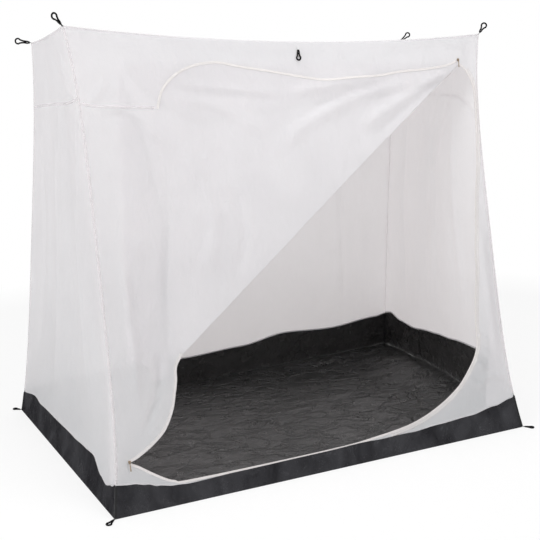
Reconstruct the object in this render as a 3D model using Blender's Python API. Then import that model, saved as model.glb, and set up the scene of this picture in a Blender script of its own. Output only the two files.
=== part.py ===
"""Inner sleeping cabin for an awning: a hanging fabric box on a tray groundsheet.

Metres, +Z up. The door is in the front wall, which faces -Y. The origin is on the
ground, under the middle of the cabin. Thin cloth is drawn as sheets with a real
thickness, so that each piece is a closed solid.
"""

import math

import bmesh
import bpy
from mathutils import Matrix, Vector
from mathutils.geometry import delaunay_2d_cdt

# Overall size of the cabin
HEIGHT = 1.75
DEPTH = 1.35
FLOOR_FRONT_HALF = 0.936
FLOOR_BACK_HALF = 1.064
TOP_HALF = 0.930
TOP_FRONT_Y = -0.321
TOP_BACK_Y = 0.366

# How far the hanging cloth pulls its edges in
LEFT_CORNER_DRAW_X = 0.045
RIGHT_CORNER_DRAW_X = 0.030
FRONT_DRAW_Y = 0.033
BACK_CORNER_DRAW = 0.020
SIDE_BOW = 0.022
BACK_BOW = 0.022
TOP_SAG_FRONT = 0.045
TOP_SAG_SIDE = 0.022
ROOF_SAG = 0.030
FOLD_DEPTH = 0.006

# Cloth, seams and gaps
CLOTH = 0.002
TRAY_CLOTH = 0.0025
SEAM_RADIUS = 0.0025
SEAM_MARGIN = 0.0045
ROOF_SEAM_DROP = 0.0045
JOIN_GAP = 0.0006
UPPER_SEAM_Z = 1.480

# Groundsheet tray: height of its rim along each side, as (place, height)
FRONT_RIM = ((-0.94, 0.112), (-0.855, 0.103), (-0.80, 0.092), (-0.76, 0.080), (-0.70, 0.070),
             (-0.628, 0.064), (-0.10, 0.064), (0.181, 0.070), (0.35, 0.075), (0.496, 0.084),
             (0.663, 0.092), (0.807, 0.111), (0.901, 0.129), (0.94, 0.146))
LEFT_RIM = ((0.0, 0.112), (0.035, 0.094), (0.085, 0.077), (0.13, 0.088), (0.21, 0.132), (0.29, 0.128),
            (0.41, 0.117), (0.63, 0.120), (0.79, 0.116), (0.86, 0.131), (1.0, 0.106))
RIGHT_RIM = ((0.0, 0.148), (0.12, 0.262), (0.20, 0.289), (0.30, 0.292), (0.44, 0.278), (0.56, 0.268),
             (0.72, 0.247), (0.84, 0.250), (0.93, 0.272), (1.0, 0.256))
BACK_RIM = ((-1.08, 0.106), (-0.80, 0.140), (-0.60, 0.150), (-0.22, 0.155), (0.10, 0.178),
            (0.38, 0.220), (0.67, 0.208), (0.97, 0.236), (1.08, 0.256))
TRAY_FOOT_Z = 0.001
CORNER_LIFT = 0.045
RIGHT_LIFT = 0.045
LIFT_START = 0.55
FLOOR_INSET = 0.004
FRONT_COLUMNS = 26
BACK_COLUMNS = 18
SIDE_COLUMNS = 14
TRAY_ROWS = 2
FLOOR_GRID = (16, 10)

# Walls, roof and seams
WALL_ROWS = 8
UPPER_ROWS = 2
ROOF_GRID = (14, 8)
SEAM_STEPS = 16
SEAM_END_GAP = 0.012
ROOF_SEAM_END = 0.004
WALL_TOP_GAP = 0.006

# Door: points (x, z) on the front wall
FOLD_TOP = (0.812, 1.612)
FOLD_FOOT = (-0.606, 0.531)
DOOR_TOP_EDGE = ((0.802, 1.629), (0.741, 1.610), (0.625, 1.594), (0.506, 1.585), (0.387, 1.568),
                 (0.250, 1.560), (0.140, 1.552), (0.053, 1.560), (-0.148, 1.592), (-0.247, 1.606),
                 (-0.348, 1.622), (-0.444, 1.609), (-0.522, 1.573), (-0.577, 1.517), (-0.602, 1.448))
OPENING_EDGE = ((0.818, 1.612), (0.851, 1.586), (0.878, 1.533), (0.886, 1.457), (0.880, 1.324),
                (0.867, 1.191), (0.844, 1.059), (0.817, 0.883), (0.802, 0.796), (0.797, 0.716),
                (0.781, 0.621), (0.763, 0.492), (0.760, 0.420), (0.748, 0.362), (0.711, 0.306),
                (0.632, 0.228), (0.548, 0.177), (0.467, 0.142), (0.383, 0.117), (0.302, 0.102),
                (0.171, 0.089), (0.031, 0.080), (-0.307, 0.077), (-0.646, 0.079), (-0.692, 0.087),
                (-0.725, 0.099), (-0.781, 0.133), (-0.819, 0.159), (-0.852, 0.177))
DRAPE_EDGE = ((-0.606, 0.531), (-0.634, 0.490), (-0.640, 0.440), (-0.651, 0.393), (-0.668, 0.334),
              (-0.702, 0.272), (-0.744, 0.234), (-0.790, 0.205), (-0.831, 0.185), (-0.854, 0.179))
DOOR_FOOT = (-0.859, 0.176)
POINT_DROP = (0.0015, -0.017)
FLAP_CLEARANCE = 0.011
FLAP_SPACING = 0.006
FLAP_WEST_END = -0.790
FLAP_FOOT_Z = 0.230
DRAPE_GAP = 0.008
FLAP_EDGE_GAP = 0.004
TOP_FOLD_Z = 1.620
SIDE_FOLD_TOP = (-0.742, 1.600)
SIDE_FOLD_FOOT = (-0.819, 0.470)
HEM_FOLD_TOP = (-0.592, 1.300)
HEM_FOLD_FOOT = (-0.662, 0.500)
FOLD_END_GAP = 0.012
ZIP_WIDTH = 0.009
ZIP_FOLD_GAP = 0.015
ZIP_TAPE_GAP = 0.0006
SILL_WEST_END = -0.660
SILL_EAST_END = 0.100
TOP_JOIN_Z = 1.630
TOP_JOIN_STEP = 0.010
FOLD_POINTS = 16
SEWN_POINTS = 12
SEWN_GAP = 0.002
TURN_STEP = 16
LONG_STEP = 0.20
LATTICE = 0.11
LATTICE_EDGE = 0.045

# Zip sliders and their pullers
SLIDER_SIZE = (0.010, 0.005, 0.013)
SLIDER_CLEARANCE = 0.0024
PULLER_SIZE = (0.005, 0.0016, 0.034)
PULLER_GAP = 0.0012
PULLER_LAP = 0.0006
TOP_SLIDER = (0.806, 1.634)
BOTTOM_SLIDER = (-0.857, 0.181)

# Cord loops. For each top corner: side, end, the loop's elevation and azimuth in degrees, length
LOOP_WIDTH = 0.022
LOOP_CORD = 0.0022
LOOP_ROOT = 0.010
LOOP_STAND_OFF = 0.0015
LOOP_NECK = 0.0036
LOOP_LEG_START = 0.0055
LOOP_LEG_SHARE = 0.65
LOOP_EYE_START = 140
LOOP_EYE_POINTS = 4
LOOP_SIDES = 5
TOP_LOOPS = {
    "front_left": (-1, -1, 45, -155, 0.044),
    "front_right": (1, -1, 58, -40, 0.042),
    "back_left": (-1, 1, 8, 160, 0.058),
    "back_right": (1, 1, 40, -40, 0.090),
}
MIDDLE_LOOP_X = 0.012
MIDDLE_LOOP_DROP = 0.036
MIDDLE_LOOP_LENGTH = 0.038
MIDDLE_LOOP_WIDTH = 0.018
PEG_LOOP_LENGTH = 0.034
PEG_LOOP_WIDTH = 0.018
PEG_CLEARANCE = 0.0005
PEG_LOOP_ROOT = 0.014
MIDDLE_TAB = 0.014
TAB_SIZE = (0.0075, 0.0018)
TAB_INNER = 0.0035
TAB_GAP = 0.0006

# Colours, roughness and metallic value of each finish
FINISHES = {
    "wall_cloth": ((0.76, 0.76, 0.77), 0.75, 0.0),
    "tray_cloth": ((0.045, 0.044, 0.048), 0.42, 0.0),
    "seam_tape": ((0.72, 0.72, 0.73), 0.80, 0.0),
    "zip_tape": ((0.78, 0.74, 0.66), 0.65, 0.0),
    "zip_metal": ((0.30, 0.20, 0.11), 0.35, 0.8),
    "cord": ((0.020, 0.020, 0.022), 0.70, 0.0),
    "tab": ((0.025, 0.025, 0.027), 0.65, 0.0),
}

materials = {}


def clear_scene():
    """Takes away whatever the scene holds."""
    for ob in list(bpy.data.objects):
        bpy.data.objects.remove(ob, do_unlink=True)


def finish(name):
    """The Principled material of one finish."""
    if name not in materials:
        colour, roughness, metallic = FINISHES[name]
        mat = bpy.data.materials.new(name)
        mat.use_nodes = True
        shader = mat.node_tree.nodes["Principled BSDF"]
        shader.inputs["Base Color"].default_value = (*colour, 1.0)
        shader.inputs["Roughness"].default_value = roughness
        shader.inputs["Metallic"].default_value = metallic
        materials[name] = mat
    return materials[name]


def make_object(name, mesh_data, finish_name, pivot=None, smooth=True):
    """Puts (points, faces) into the scene as one object, its origin at pivot."""
    points, faces = mesh_data
    pivot = Vector(pivot) if pivot is not None else Vector((0, 0, 0))
    mesh = bpy.data.meshes.new(name)
    mesh.from_pydata([Vector(p) - pivot for p in points], [], faces)
    bm = bmesh.new()
    bm.from_mesh(mesh)
    bmesh.ops.recalc_face_normals(bm, faces=bm.faces)
    bm.to_mesh(mesh)
    bm.free()
    if smooth:
        mesh.shade_smooth()
        mesh.set_sharp_from_angle(angle=math.radians(40))
    ob = bpy.data.objects.new(name, mesh)
    ob.location = pivot
    ob.data.materials.append(finish(finish_name))
    bpy.context.scene.collection.objects.link(ob)
    return ob


def lerp(a, b, t):
    return a + (b - a) * t


def smooth_step(t):
    t = min(max(t, 0.0), 1.0)
    return t * t * (3 - 2 * t)


def along(table, x):
    """Reads a smooth curve through (place, value) points."""
    if x <= table[0][0]:
        return table[0][1]
    for (x0, y0), (x1, y1) in zip(table, table[1:]):
        if x <= x1:
            return lerp(y0, y1, smooth_step((x - x0) / (x1 - x0)))
    return table[-1][1]


def curve(points):
    """A smooth line through the given (x, z) points, divided more finely where it turns."""
    pts = [Vector(p) for p in points]
    ends = [pts[0] * 2 - pts[1]] + pts + [pts[-1] * 2 - pts[-2]]
    fine = []
    for a, b, c, d in zip(ends, ends[1:], ends[2:], ends[3:]):
        turn = math.degrees((c - a).angle(d - b))
        steps = max(math.ceil(turn / TURN_STEP), math.ceil((c - b).length / LONG_STEP))
        for k in range(steps):
            t = k / steps
            fine.append(0.5 * ((2 * b) + (c - a) * t + (2 * a - 5 * b + 4 * c - d) * t * t
                               + (3 * b - a - 3 * c + d) * t ** 3))
    fine.append(pts[-1])
    return fine


def resample(points, count):
    """count points at even distances along a polyline."""
    pts = [Vector(p) for p in points]
    lengths = [0.0]
    for a, b in zip(pts, pts[1:]):
        lengths.append(lengths[-1] + (b - a).length)
    out = []
    k = 0
    for i in range(count):
        want = lengths[-1] * i / (count - 1)
        while k < len(pts) - 2 and lengths[k + 1] < want:
            k += 1
        span = lengths[k + 1] - lengths[k]
        t = (want - lengths[k]) / span if span > 0 else 0.0
        out.append(pts[k].lerp(pts[k + 1], min(max(t, 0.0), 1.0)))
    return out


def offset(points, distance):
    """Moves an (x, z) polyline to its left by a distance."""
    out = []
    for i, p in enumerate(points):
        a = points[max(i - 1, 0)]
        b = points[min(i + 1, len(points) - 1)]
        run = (b - a).normalized()
        out.append(p + Vector((-run.y, run.x)) * distance)
    return out


# The cabin's outer surfaces
def hang(z):
    """How strongly the cloth is drawn in at a height: none at its ends, flat between."""
    return 1 - (2 * z / HEIGHT - 1) ** 4


def corner(side, end, z):
    """A point on one of the four upright edges. side is -1 left, end is -1 front."""
    v = z / HEIGHT
    if end < 0:
        draw = LEFT_CORNER_DRAW_X if side < 0 else RIGHT_CORNER_DRAW_X
        x = lerp(FLOOR_FRONT_HALF, TOP_HALF, v) - draw * hang(z)
        y = lerp(-DEPTH / 2, TOP_FRONT_Y, v) + FRONT_DRAW_Y * hang(z)
    else:
        x = lerp(FLOOR_BACK_HALF, TOP_HALF, v) - BACK_CORNER_DRAW * hang(z)
        y = lerp(DEPTH / 2, TOP_BACK_Y, v) - BACK_CORNER_DRAW * hang(z)
    return Vector((side * x, y, z))


def front_x(s, z):
    """A place across the front wall, clear of the seams at its upright edges."""
    return lerp(corner(-1, -1, z).x + SEAM_MARGIN, corner(1, -1, z).x - SEAM_MARGIN, s)


def back_x(s, z):
    half = corner(1, 1, z).x - SEAM_MARGIN
    return lerp(-half, half, s)


def ripple(s, z, count, phase):
    """Soft upright folds, fading towards the edges of a wall."""
    fade = (4 * s * (1 - s)) * hang(z)
    return FOLD_DEPTH * fade * math.sin(2 * math.pi * count * s + phase + 1.1 * z)


def front_point(x, z):
    """A point on the front wall."""
    v = z / HEIGHT
    y = lerp(-DEPTH / 2, TOP_FRONT_Y, v) + FRONT_DRAW_Y * hang(z)
    return Vector((x, y, z))


def front_inward(z):
    """The direction into the cabin, square to the front wall at a height."""
    step = 0.01
    rise = front_point(0, z + step) - front_point(0, z - step)
    return rise.cross(Vector((1, 0, 0))).normalized()


def back_point(x, z):
    """A point on the back wall, which bows in a little between its edges."""
    a, b = corner(-1, 1, z), corner(1, 1, z)
    s = (x - a.x) / (b.x - a.x)
    inward = BACK_BOW * 4 * s * (1 - s) * hang(z) + ripple(s, z, 4, 0.6)
    return Vector((x, a.y - inward, z))


def side_point(side, s, z):
    """A point on a side wall. s runs from the front edge to the back edge."""
    a, b = corner(side, -1, z), corner(side, 1, z)
    p = a.lerp(b, s)
    p.x -= side * (SIDE_BOW * 4 * s * (1 - s) * hang(z) + ripple(s, z, 3, 0.4 + side))
    return p


def front_top(x):
    s = 0.5 + 0.5 * x / TOP_HALF
    return HEIGHT - TOP_SAG_FRONT * 4 * s * (1 - s)


def side_top(s):
    return HEIGHT - TOP_SAG_SIDE * 4 * s * (1 - s)


def roof_point(s, t):
    """A point on the roof. s runs left to right, t front to back."""
    x = lerp(-TOP_HALF, TOP_HALF, s)
    y = lerp(TOP_FRONT_Y, TOP_BACK_Y, t)
    sag = TOP_SAG_FRONT * 4 * s * (1 - s) + TOP_SAG_SIDE * 4 * t * (1 - t)
    sag += ROOF_SAG * 16 * s * (1 - s) * t * (1 - t)
    return Vector((x, y, HEIGHT - sag))


def lift(x, y):
    """How far the tray is drawn up off the ground, towards its back right corner."""
    fx = x / lerp(FLOOR_FRONT_HALF, FLOOR_BACK_HALF, y / DEPTH + 0.5)
    fy = 2 * y / DEPTH
    fx = min(max(fx, -1.0), 1.0)
    fy = min(max(fy, -1.0), 1.0)
    right = CORNER_LIFT * (fy + 1) / 2 + RIGHT_LIFT * (1 - fy * fy)
    back = CORNER_LIFT * min(max((fx + 0.1) / 1.1, 0.0), 1.0)
    near_right = smooth_step((fx - LIFT_START) / (1 - LIFT_START)) ** 2
    near_back = smooth_step((fy - LIFT_START) / (1 - LIFT_START)) ** 2
    return right * near_right + back * near_back - CORNER_LIFT * near_right * near_back


# Ways of making closed sheets and tubes
def sheet(grid, thickness):
    """A closed sheet around a grid of points, given as rows of equal length."""
    rows, cols = len(grid), len(grid[0])
    normals = []
    for j in range(rows):
        line = []
        for i in range(cols):
            du = grid[j][min(i + 1, cols - 1)] - grid[j][max(i - 1, 0)]
            dv = grid[min(j + 1, rows - 1)][i] - grid[max(j - 1, 0)][i]
            line.append(du.cross(dv).normalized())
        normals.append(line)
    half = thickness / 2
    points = [grid[j][i] + normals[j][i] * half for j in range(rows) for i in range(cols)]
    points += [grid[j][i] - normals[j][i] * half for j in range(rows) for i in range(cols)]
    back = rows * cols
    faces = []
    for j in range(rows - 1):
        for i in range(cols - 1):
            a = j * cols + i
            quad = (a, a + 1, a + cols + 1, a + cols)
            faces.append(quad)
            faces.append(tuple(back + k for k in reversed(quad)))
    rim = [i for i in range(cols)]
    rim += [j * cols + cols - 1 for j in range(1, rows)]
    rim += [(rows - 1) * cols + i for i in range(cols - 2, -1, -1)]
    rim += [j * cols for j in range(rows - 2, 0, -1)]
    for a, b in zip(rim, rim[1:] + rim[:1]):
        faces.append((b, a, back + a, back + b))
    return points, faces


def tube(path, radius, sides=LOOP_SIDES, closed=False, ref=Vector((0, 0, 1))):
    """A round tube along a path of points, with filled ends unless it is closed."""
    count = len(path)
    points, faces = [], []
    for i, p in enumerate(path):
        before = path[(i - 1) % count] if closed or i > 0 else path[0]
        after = path[(i + 1) % count] if closed or i < count - 1 else path[-1]
        run = (after - before).normalized()
        u = run.cross(ref).normalized()
        v = run.cross(u)
        for k in range(sides):
            a = 2 * math.pi * k / sides
            points.append(p + (u * math.cos(a) + v * math.sin(a)) * radius)
    for i in range(count if closed else count - 1):
        n = (i + 1) % count
        for k in range(sides):
            m = (k + 1) % sides
            faces.append((i * sides + k, i * sides + m, n * sides + m, n * sides + k))
    if not closed:
        faces.append(tuple(reversed(range(sides))))
        faces.append(tuple((count - 1) * sides + k for k in range(sides)))
    return points, faces


def box(size, centre, turn=None):
    """A block of the given size, turned about its centre."""
    points, faces = [], []
    for sx in (-0.5, 0.5):
        for sy in (-0.5, 0.5):
            for sz in (-0.5, 0.5):
                p = Vector((sx * size[0], sy * size[1], sz * size[2]))
                points.append(Vector(centre) + (turn @ p if turn else p))
    for f in ((0, 1, 3, 2), (4, 6, 7, 5), (0, 4, 5, 1), (2, 3, 7, 6), (0, 2, 6, 4), (1, 5, 7, 3)):
        faces.append(f)
    return points, faces


def patch(outline, spacing=LATTICE):
    """Divides the inside of an (x, z) outline into triangles no wider than the spacing."""
    points = []
    for a, b in zip(outline, outline[1:] + outline[:1]):
        pieces = max(1, math.ceil(abs(b.y - a.y) / spacing))
        points += [a.lerp(b, k / pieces) for k in range(pieces)]
    outline = list(points)
    edges = [(i, (i + 1) % len(outline)) for i in range(len(outline))]
    low = [min(p[k] for p in outline) for k in (0, 1)]
    high = [max(p[k] for p in outline) for k in (0, 1)]
    for j in range(1, math.ceil((high[1] - low[1]) / spacing)):
        for i in range(1, math.ceil((high[0] - low[0]) / spacing)):
            p = Vector((low[0] + i * spacing, low[1] + j * spacing))
            room = min(off_line(p, outline[a], outline[b]) for a, b in edges)
            if inside(p, outline) and room > LATTICE_EDGE:
                points.append(p)
    found = delaunay_2d_cdt(points, edges, [], 1, 1e-7)
    return found[0], [tuple(f) for f in found[2]]


def inside(p, outline):
    """Whether an (x, z) point lies within an outline."""
    found = False
    for a, b in zip(outline, outline[1:] + outline[:1]):
        if (a.y > p.y) != (b.y > p.y) and p.x < a.x + (b.x - a.x) * (p.y - a.y) / (b.y - a.y):
            found = not found
    return found


def off_line(p, a, b):
    """Distance of a point from a stretch of line."""
    t = min(max((p - a).dot(b - a) / (b - a).length_squared, 0.0), 1.0)
    return (p - a.lerp(b, t)).length


def front_cloth(name, outline, finish_name, depth=0.0, pivot=None):
    """A piece of cloth lying on the front wall, or that far inside it."""
    flat, triangles = patch(outline)
    points, faces = [], []
    for half in (-CLOTH / 2, CLOTH / 2):
        for p in flat:
            points.append(front_point(p.x, p.y) + front_inward(p.y) * (depth + half))
    count = len(flat)
    sides = {}
    for tri in triangles:
        faces.append(tri)
        faces.append(tuple(count + k for k in reversed(tri)))
        for a, b in zip(tri, tri[1:] + tri[:1]):
            sides[(a, b)] = (b, a) in sides
            if sides[(a, b)]:
                sides[(b, a)] = True
    for (a, b), shared in sides.items():
        if not shared:
            faces.append((b, a, count + a, count + b))
    make_object(name, (points, faces), finish_name, pivot=pivot)


def strip(line, low, high):
    """The outline of a tape along a line, reaching from one offset of it to another."""
    return offset(line, low) + list(reversed(offset(line, high)))


LEAN = math.atan2(TOP_FRONT_Y + DEPTH / 2, HEIGHT)
STRETCH = 1 / math.cos(LEAN)


# Groundsheet
def rim_height(side_name, place):
    return along({"front": FRONT_RIM, "back": BACK_RIM, "left": LEFT_RIM, "right": RIGHT_RIM}[side_name],
                 place)


def tray_side(name, place_at, low_at, high_at, count):
    """One upright strip of the tray, from the ground to its rim."""
    grid = []
    for k in range(TRAY_ROWS + 1):
        row = []
        for i in range(count + 1):
            s = i / count
            row.append(place_at(s, lerp(low_at(s), high_at(s), k / TRAY_ROWS)))
        grid.append(row)
    make_object(name, sheet(grid, TRAY_CLOTH), "tray_cloth")


def side_share(side, s, z):
    """Keeps a side wall's sheets clear of the seams at its two upright edges."""
    margin = SEAM_MARGIN / (corner(side, 1, z) - corner(side, -1, z)).length
    return lerp(margin, 1 - margin, s)


def tray_foot(p):
    return TRAY_FOOT_Z + lift(p.x, p.y)


def floor_point(s, t):
    """A point on the floor, which keeps inside the walls where it is drawn up."""
    y = lerp(-DEPTH / 2, DEPTH / 2, t)
    half = lerp(FLOOR_FRONT_HALF, FLOOR_BACK_HALF, t)
    z = lift(lerp(-half, half, s), y)
    left, right = side_point(-1, t, z + TRAY_CLOTH), side_point(1, t, z + TRAY_CLOTH)
    x = lerp(left.x + FLOOR_INSET, right.x - FLOOR_INSET, s)
    front = front_point(x, z + TRAY_CLOTH).y + FLOOR_INSET
    back = back_point(x, z + TRAY_CLOTH).y - FLOOR_INSET
    return Vector((x, lerp(front, back, t), TRAY_CLOTH / 2 + z))


def front_at(s, z):
    return front_point(front_x(s, z), z)


def back_at(s, z):
    return back_point(back_x(s, z), z)


def front_rim():
    """The (x, z) points along the top of the tray's front."""
    points = []
    for i in range(FRONT_COLUMNS + 1):
        s = i / FRONT_COLUMNS
        p = front_at(s, rim_height("front", front_at(s, 0.1).x))
        points.append(Vector((p.x, p.z)))
    return points


def rim_between(x0, x1):
    """The stretch of the front rim between two places, with the gap of the seam above it."""
    rim = front_rim()
    low, high = min(x0, x1), max(x0, x1)
    out = []
    for a, b in zip(rim, rim[1:]):
        for x in (low, high):
            if a.x <= x < b.x:
                out.append(a.lerp(b, (x - a.x) / (b.x - a.x)))
        if low < b.x < high:
            out.append(b.copy())
    out.sort(key=lambda p: p.x)
    for p in out:
        p.y += JOIN_GAP
    return out if x0 < x1 else out[::-1]


def build_tray():
    tray_side("tray_front", front_at, lambda s: tray_foot(front_at(s, 0)),
              lambda s: rim_height("front", front_at(s, 0.1).x), FRONT_COLUMNS)
    tray_side("tray_back", back_at, lambda s: tray_foot(back_at(s, 0)),
              lambda s: rim_height("back", back_at(s, 0.1).x), BACK_COLUMNS)
    for name, side in (("left", -1), ("right", 1)):
        def at(s, z, side=side):
            return side_point(side, side_share(side, s, z), z)
        tray_side("tray_" + name, at, lambda s, at=at: tray_foot(at(s, 0)),
                  lambda s, name=name: rim_height(name, s), SIDE_COLUMNS)
    grid = []
    for j in range(FLOOR_GRID[1] + 1):
        row = []
        for i in range(FLOOR_GRID[0] + 1):
            row.append(floor_point(i / FLOOR_GRID[0], j / FLOOR_GRID[1]))
        grid.append(row)
    make_object("floor_sheet", sheet(grid, TRAY_CLOTH), "tray_cloth")


# Walls and roof
def wall(name, place_at, low_at, high_at, count, rows):
    grid = []
    for k in range(rows + 1):
        row = []
        for i in range(count + 1):
            s = i / count
            row.append(place_at(s, lerp(low_at(s), high_at(s), k / rows)))
        grid.append(row)
    make_object(name, sheet(grid, CLOTH), "wall_cloth")


def build_walls():
    def back_low(s):
        return rim_height("back", back_at(s, 0.1).x) + JOIN_GAP

    wall("back_wall_lower", back_at, back_low, lambda s: UPPER_SEAM_Z - JOIN_GAP, BACK_COLUMNS, WALL_ROWS)
    wall("back_wall_upper", back_at, lambda s: UPPER_SEAM_Z,
         lambda s: front_top(lerp(-TOP_HALF, TOP_HALF, s)) - ROOF_SEAM_DROP, BACK_COLUMNS, UPPER_ROWS)
    for name, side in (("left", -1), ("right", 1)):
        def at(s, z, side=side):
            return side_point(side, side_share(side, s, z), z)

        def low(s, name=name):
            return rim_height(name, s) + JOIN_GAP

        wall(name + "_wall_lower", at, low, lambda s: UPPER_SEAM_Z - JOIN_GAP, SIDE_COLUMNS, WALL_ROWS)
        wall(name + "_wall_upper", at, lambda s: UPPER_SEAM_Z,
             lambda s: side_top(s) - ROOF_SEAM_DROP, SIDE_COLUMNS, UPPER_ROWS)
    grid = []
    across = SEAM_MARGIN / (2 * TOP_HALF)
    deep = SEAM_MARGIN / (TOP_BACK_Y - TOP_FRONT_Y)
    for j in range(ROOF_GRID[1] + 1):
        row = []
        for i in range(ROOF_GRID[0] + 1):
            s = lerp(across, 1 - across, i / ROOF_GRID[0])
            row.append(roof_point(s, lerp(deep, 1 - deep, j / ROOF_GRID[1])))
        grid.append(row)
    make_object("roof", sheet(grid, CLOTH), "wall_cloth")


def build_seams():
    """Felled seams along the upright corners and around the roof."""
    for name, side, end in (("front_left", -1, -1), ("front_right", 1, -1),
                            ("back_left", -1, 1), ("back_right", 1, 1)):
        foot = corner(side, end, 0)
        low = lift(foot.x, foot.y) + SEAM_RADIUS
        heights = [lerp(low, HEIGHT - SEAM_END_GAP, k / SEAM_STEPS) for k in range(SEAM_STEPS + 1)]
        path = [corner(side, end, z) for z in heights]
        make_object("corner_seam_" + name, tube(path, SEAM_RADIUS, ref=Vector((0, 1, 0))), "seam_tape")
    shares = [k / SEAM_STEPS for k in range(SEAM_STEPS + 1)]
    for name, t in (("front", 0), ("back", 1)):
        path = [roof_point(lerp(ROOF_SEAM_END, 1 - ROOF_SEAM_END, k), t) for k in shares]
        make_object("roof_seam_" + name, tube(path, SEAM_RADIUS), "seam_tape")
    for name, s in (("left", 0), ("right", 1)):
        path = [roof_point(s, lerp(SEAM_END_GAP, 1 - SEAM_END_GAP, k)) for k in shares[::2]]
        make_object("roof_seam_" + name, tube(path, SEAM_RADIUS), "seam_tape")


# Front wall and door
def corner_line(side, z0, z1, count):
    """Points beside an upright front edge, as (x, z)."""
    pts = []
    for i in range(count):
        z = lerp(z0, z1, i / (count - 1))
        pts.append(Vector((front_x(0.5 + 0.5 * side, z), z)))
    return pts


def build_front_wall():
    top_zip = curve(DOOR_TOP_EDGE)
    opening = curve(OPENING_EDGE)
    gap = JOIN_GAP / 2

    # Upper band, above the door and the seam
    wall_side = offset(top_zip, -ZIP_WIDTH)
    cut, seam_end = crossing(wall_side, lambda p: p.y - UPPER_SEAM_Z - gap)
    outline = corner_line(-1, HEIGHT - WALL_TOP_GAP, UPPER_SEAM_Z + gap, 6)
    outline += [seam_end] + list(reversed(wall_side[:cut + 1]))
    outline.append(Vector((DOOR_TOP_EDGE[0][0] + TOP_JOIN_STEP, TOP_JOIN_Z + gap)))
    outline += corner_line(1, TOP_JOIN_Z + gap, HEIGHT - WALL_TOP_GAP, 4)
    for i in range(1, FRONT_COLUMNS):
        x = lerp(1, -1, i / FRONT_COLUMNS) * (TOP_HALF - SEAM_MARGIN)
        outline.append(Vector((x, front_top(x) - ROOF_SEAM_DROP)))
    front_cloth("front_wall_upper", outline, "wall_cloth")

    # Left part, from the corner to the door's sewn side, with the point under the lower slider
    cut, seam_end = crossing(wall_side, lambda p: p.y - UPPER_SEAM_Z + gap)
    arch = wall_side[cut + 1:]
    sewn = resample([Vector(DOOR_TOP_EDGE[-1]), Vector(DOOR_FOOT)], SEWN_POINTS)
    sill = [p for p in offset(opening, ZIP_WIDTH) if p.x < SILL_WEST_END][:-1]
    rim_end = rim_between(SILL_WEST_END, 0)[0]
    outline = [seam_end] + arch + [arch[-1] - Vector((0, SEWN_GAP))]
    outline += [sewn[0] - Vector((0, SEWN_GAP))] + sewn[1:]
    outline += [sewn[-1] + Vector(POINT_DROP)] + list(reversed(sill))
    corner_z = rim_height("front", -FLOOR_FRONT_HALF) + JOIN_GAP
    corner_x = corner_line(-1, corner_z, corner_z + 0.01, 2)[0].x
    outline += rim_between(rim_end.x, corner_x + 0.0002)
    outline += corner_line(-1, corner_z + 0.01, UPPER_SEAM_Z - gap, 12)
    front_cloth("front_wall_left", outline, "wall_cloth")

    # Right part, from the corner round the door's lower corner to the sill
    outline = [p for p in offset(opening, ZIP_WIDTH) if p.x > SILL_EAST_END]
    corner_z = rim_height("front", FLOOR_FRONT_HALF) + JOIN_GAP
    corner_x = corner_line(1, corner_z, corner_z + 0.01, 2)[0].x
    outline += rim_between(SILL_EAST_END, corner_x - 0.0002)
    outline += corner_line(1, corner_z + 0.01, TOP_JOIN_Z - gap, 14)
    outline.append(outline[0] + Vector((0.003, TOP_JOIN_STEP)))
    front_cloth("front_wall_right", outline, "wall_cloth")

    # Zip: the closed stretch above the door and the open half on the wall
    edge = ZIP_WIDTH - ZIP_TAPE_GAP
    front_cloth("zip_closed", strip(top_zip, edge, -edge), "zip_tape")
    front_cloth("zip_wall_side", strip(opening, 0, edge), "zip_tape")


def plane(p):
    """(x, z) to true distances in the leaning plane of the front wall."""
    return Vector((p[0], p[1] * STRETCH))


def from_plane(p):
    return Vector((p[0], p[1] / STRETCH))


def mirror(p, a, b):
    """Folds an (x, z) point over the line through a and b."""
    p, a, b = plane(p), plane(a), plane(b)
    u = (b - a).normalized()
    v = p - a
    return from_plane(a + u * (2 * v.dot(u)) - v)


def crossing(points, test):
    """The place along a polyline where test changes from below to above zero."""
    for i, (a, b) in enumerate(zip(points, points[1:])):
        if test(a) <= 0 < test(b) or test(b) <= 0 < test(a):
            t = test(a) / (test(a) - test(b))
            return i, a.lerp(b, t)
    return None


def flap_outline():
    """The loose door's edge as it lies turned back, from its top end round to the fold's foot."""
    opening = curve(OPENING_EDGE)
    loose = [p for p in offset(opening, -FLAP_CLEARANCE) if p.x > FLAP_WEST_END]
    drape = [p for p in offset([Vector(p) for p in DRAPE_EDGE], DRAPE_GAP) if p.y > FLAP_FOOT_Z]
    loose = loose[1:] + list(reversed(drape))
    return [Vector(FOLD_TOP)] + [mirror(p, FOLD_TOP, FOLD_FOOT) for p in loose] + [Vector(FOLD_FOOT)]


def fold_axis(a, b, depth):
    """Two points on a fold line, at a depth inside the front wall."""
    return [front_point(*p) + front_inward(p[1]) * depth for p in (a, b)]


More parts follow.
